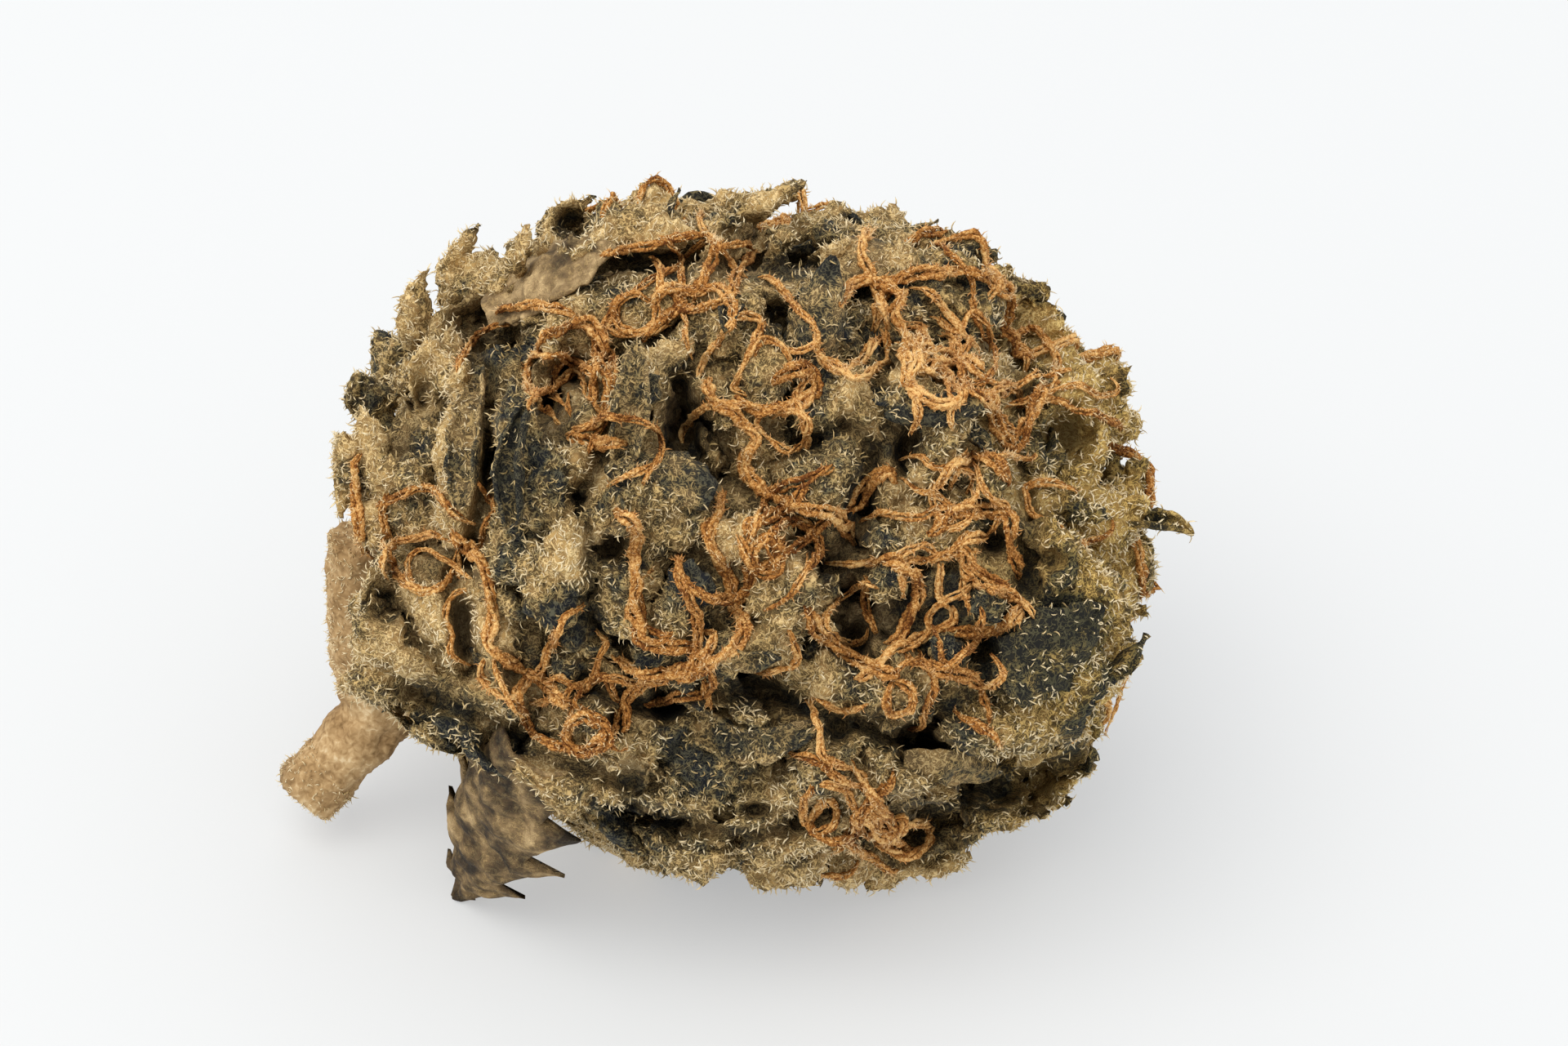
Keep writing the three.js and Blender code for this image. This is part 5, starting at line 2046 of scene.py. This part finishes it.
@dataclass(frozen=True)
class Studio:
    """The pale surface, the soft light and the camera."""

    floor_size: float = 2400.0
    sky: float = 1.07
    lamp: float = 0.74  # watts
    lamp_size: Pair = (0.34, 0.26)  # metres, as the next one
    lamp_place: tuple[float, float, float] = (-0.12, -0.13, 0.33)

    def build(self) -> None:
        """Sets the stage."""
        self.floor()
        self.light()
        self.camera()

    def floor(self) -> None:
        """Lays a wide plain sheet at the height that the bud rests on."""
        deselect_all()
        bpy.ops.mesh.primitive_plane_add(size=self.floor_size * MM, location=(0, 0, 0))
        floor = bpy.context.active_object
        floor.name = "floor"
        floor.data.materials.append(PaleSweep().material())

    def light(self) -> None:
        """Adds an even white sky and one big soft lamp above the viewer's left shoulder."""
        world = bpy.data.worlds.new("soft_sky")
        world.use_nodes = True
        back = world.node_tree.nodes["Background"]
        back.inputs["Color"].default_value = linear("#fbfcff")
        back.inputs["Strength"].default_value = self.sky
        bpy.context.scene.world = world
        lamp = bpy.data.lights.new("soft_box", "AREA")
        lamp.shape = "RECTANGLE"
        lamp.size, lamp.size_y = self.lamp_size
        lamp.energy = self.lamp
        lamp.color = linear("#fffaf2")[:3]
        holder = bpy.data.objects.new("soft_box", lamp)
        bpy.context.scene.collection.objects.link(holder)
        place = Vector(self.lamp_place)
        holder.location = place
        holder.rotation_mode = "QUATERNION"
        holder.rotation_quaternion = (Vector(CORE * MM) - place).to_track_quat("-Z", "Y")

    def camera(self) -> None:
        """Puts the camera at the viewer's eye."""
        camera = bpy.data.cameras.new("camera")
        camera.sensor_width = VIEW.sensor
        camera.lens = VIEW.sensor * VIEW.distance / VIEW.field
        camera.clip_start = 0.005
        camera.clip_end = 10
        holder = bpy.data.objects.new("camera", camera)
        bpy.context.scene.collection.objects.link(holder)
        holder.location = Vector(VIEW.eye * MM)
        holder.rotation_mode = "QUATERNION"
        holder.rotation_quaternion = Vector(-VIEW.out).to_track_quat("-Z", "Y")
        bpy.context.scene.camera = holder
        bpy.context.scene.view_settings.view_transform = "Standard"


AT_ONCE = 4000  # points compared with every bract at one time


def tone_clusters(pieces: Sequence[Piece], clusters: Clusters, relief: Relief) -> None:
    """Gives each cluster the ages of its bracts, and paints shade into its deep places and its gaps.

    Args:
        pieces: the clusters' skins.
        clusters: what grew them.
        relief: how deep places lie.
    """
    middles = np.array([head[0] for head in clusters.heads])
    widths = np.array([head[1] for head in clusters.heads])
    ages = np.array([head[2] for head in clusters.heads])
    for piece in pieces:
        points = vertex_array(piece.data)
        age = np.empty(len(points))
        for start in range(0, len(points), AT_ONCE):
            part = points[start : start + AT_ONCE]
            far = np.linalg.norm(part[:, None] - middles[None], axis=2) - widths[None]
            weight = np.exp(-3.5 * (far - far.min(axis=1, keepdims=True)))
            age[start : start + AT_ONCE] = (weight * ages).sum(axis=1) / weight.sum(axis=1)
        age += 0.12 * grain(points, 0.7, 61)
        # painted shade: darker the deeper a place lies below the outer surface, and darker still in the gaps
        dark = 0.84 * np.clip((relief.depth(points) - 0.6) / 2.2, 0, 1)
        for gap in clusters.gaps:
            dark = np.maximum(dark, 0.68 * gap.weight(points))
        set_attribute(piece.data, "age", np.clip(age, 0, 1))
        set_attribute(piece.data, "painted_shade_and_cut_dark", dark)


def tone_near(spots: Array, clusters: Clusters) -> Array:
    """The age of the bract nearest to each spot.

    Args:
        spots: places in millimetres.
        clusters: what grew the bracts.

    Returns:
        One age for each spot.
    """
    middles = np.array([head[0] for head in clusters.heads])
    ages = np.array([head[2] for head in clusters.heads])
    near = np.empty(len(spots))
    for start in range(0, len(spots), AT_ONCE):
        far = np.linalg.norm(spots[start : start + AT_ONCE, None] - middles[None], axis=2)
        near[start : start + AT_ONCE] = ages[far.argmin(axis=1)]
    return near


def grow_body(rng: np.random.Generator) -> tuple[Clusters, list[Piece], Relief]:
    """Grows the clusters and the stem.

    Args:
        rng: the source of chance.

    Returns:
        The clusters, their skins with the stem last, and how deep places lie.
    """
    skin = DriedTissue("dried_bract_skin", Hue.BRACT).material()
    clusters = Clusters(SHOWN_BRACTS, GAPS, rng)
    grown = [clusters.grow(number) for number in range(len(clusters.nodes))]
    for copy in clusters.copies:
        bpy.data.objects.remove(copy)
    stem = Stem(DryBark().material()).build()
    relief = Relief(Ground([*grown, stem]))
    tone_clusters(grown, clusters, relief)
    for node, piece in zip(clusters.nodes, grown):
        BENCH.append(Waiting(piece, "bract", skin, (node,)))
    return clusters, [*grown, stem], relief


def grow_leaves(relief: Relief, rng: np.random.Generator) -> tuple[list[Piece], list[Piece]]:
    """Lays every leaf on the clusters and the stem.

    Args:
        relief: how deep places lie.
        rng: the source of chance.

    Returns:
        All of them, and those that have hairs.
    """
    skin = DriedTissue("dried_leaf_skin", Hue.LEAF, dust=0.6).material()
    brown = DriedTissue("dried_leaf_underside", Hue.BROWN, dust=0.22).material()
    leafage = Leafage(relief.ground, relief, skin, brown)
    for number, blade in enumerate(SUGAR_LEAVES, 1):
        leafage.sugar(number, blade)
    leafage.hanging()
    leafage.tip()
    leaflets = Leaflets(relief.ground, relief, skin, rng)
    leaflets.scatter()
    laid = [*leafage.built, *leafage.bare, *leaflets.built]
    return laid, [piece for piece in laid if piece not in leafage.bare]


def grow_pistils(ground: Ground, rng: np.random.Generator) -> list[Piece]:
    """Lays every pistil.

    Args:
        ground: what they lie on.
        rng: the source of chance.

    Returns:
        The pistils.
    """
    pistils = Pistils(ground, DryStigma().material(), rng)
    for number, route in enumerate(PISTIL_ROUTES, 1):
        pistils.shown(number, route)
    pistils.loose(LOOSE_ROUTE)
    pistils.fine("pistils_fine", FINE_ROUTES)
    pistils.knot("pistils_knots", TANGLES)
    pistils.scatter("pistils_back", 20, lambda d: d @ VIEW.out < -0.1 and d[2] > -0.6 and d[0] > -0.8)
    pistils.scatter("pistils_sides", 14, lambda d: abs(d @ VIEW.out) < 0.35 and d[2] > -0.2 and d[0] > -0.7)
    return pistils.built


def main() -> None:
    """Builds the bud from the inside out and reports each piece."""
    logging.basicConfig(level=logging.INFO, format="%(name)s: %(message)s")
    rng = np.random.default_rng(SEED)
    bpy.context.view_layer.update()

    clusters, body, relief = grow_body(rng)
    leaves, hairy = grow_leaves(relief, rng)
    pistils = grow_pistils(Ground([*body, *leaves]), rng)

    everything = Ground([*body, *leaves, *pistils])
    hairs = Hairs(everything, relief, clusters, rng, density=22.5)
    pale = ResinHair("resin_hair", root="#cbae74", tip="#f4e2b9", dark="#7a673f").material()
    orange = ResinHair("stigma_fuzz", root="#d99d58", tip="#f8dba4", dark="#9c6228").material()
    hairs.cover("bract_hairs", "bract", body[:-1], 1.0, LONG_HAIR, pale)
    hairs.cover("leaf_hairs", "leaf", hairy, 0.6, LONG_HAIR, pale)
    hairs.cover("stem_hairs", "stem", body[-1:], 1.2, FUZZ, pale)
    hairs.cover("pistil_fuzz", "pistil", pistils, 1.4, FUZZ, orange)
    for waiting in BENCH:
        finish_piece(waiting.piece, waiting.slot, waiting.material, *waiting.nodes)

    Studio().build()


if __name__ == "__main__":
    main()
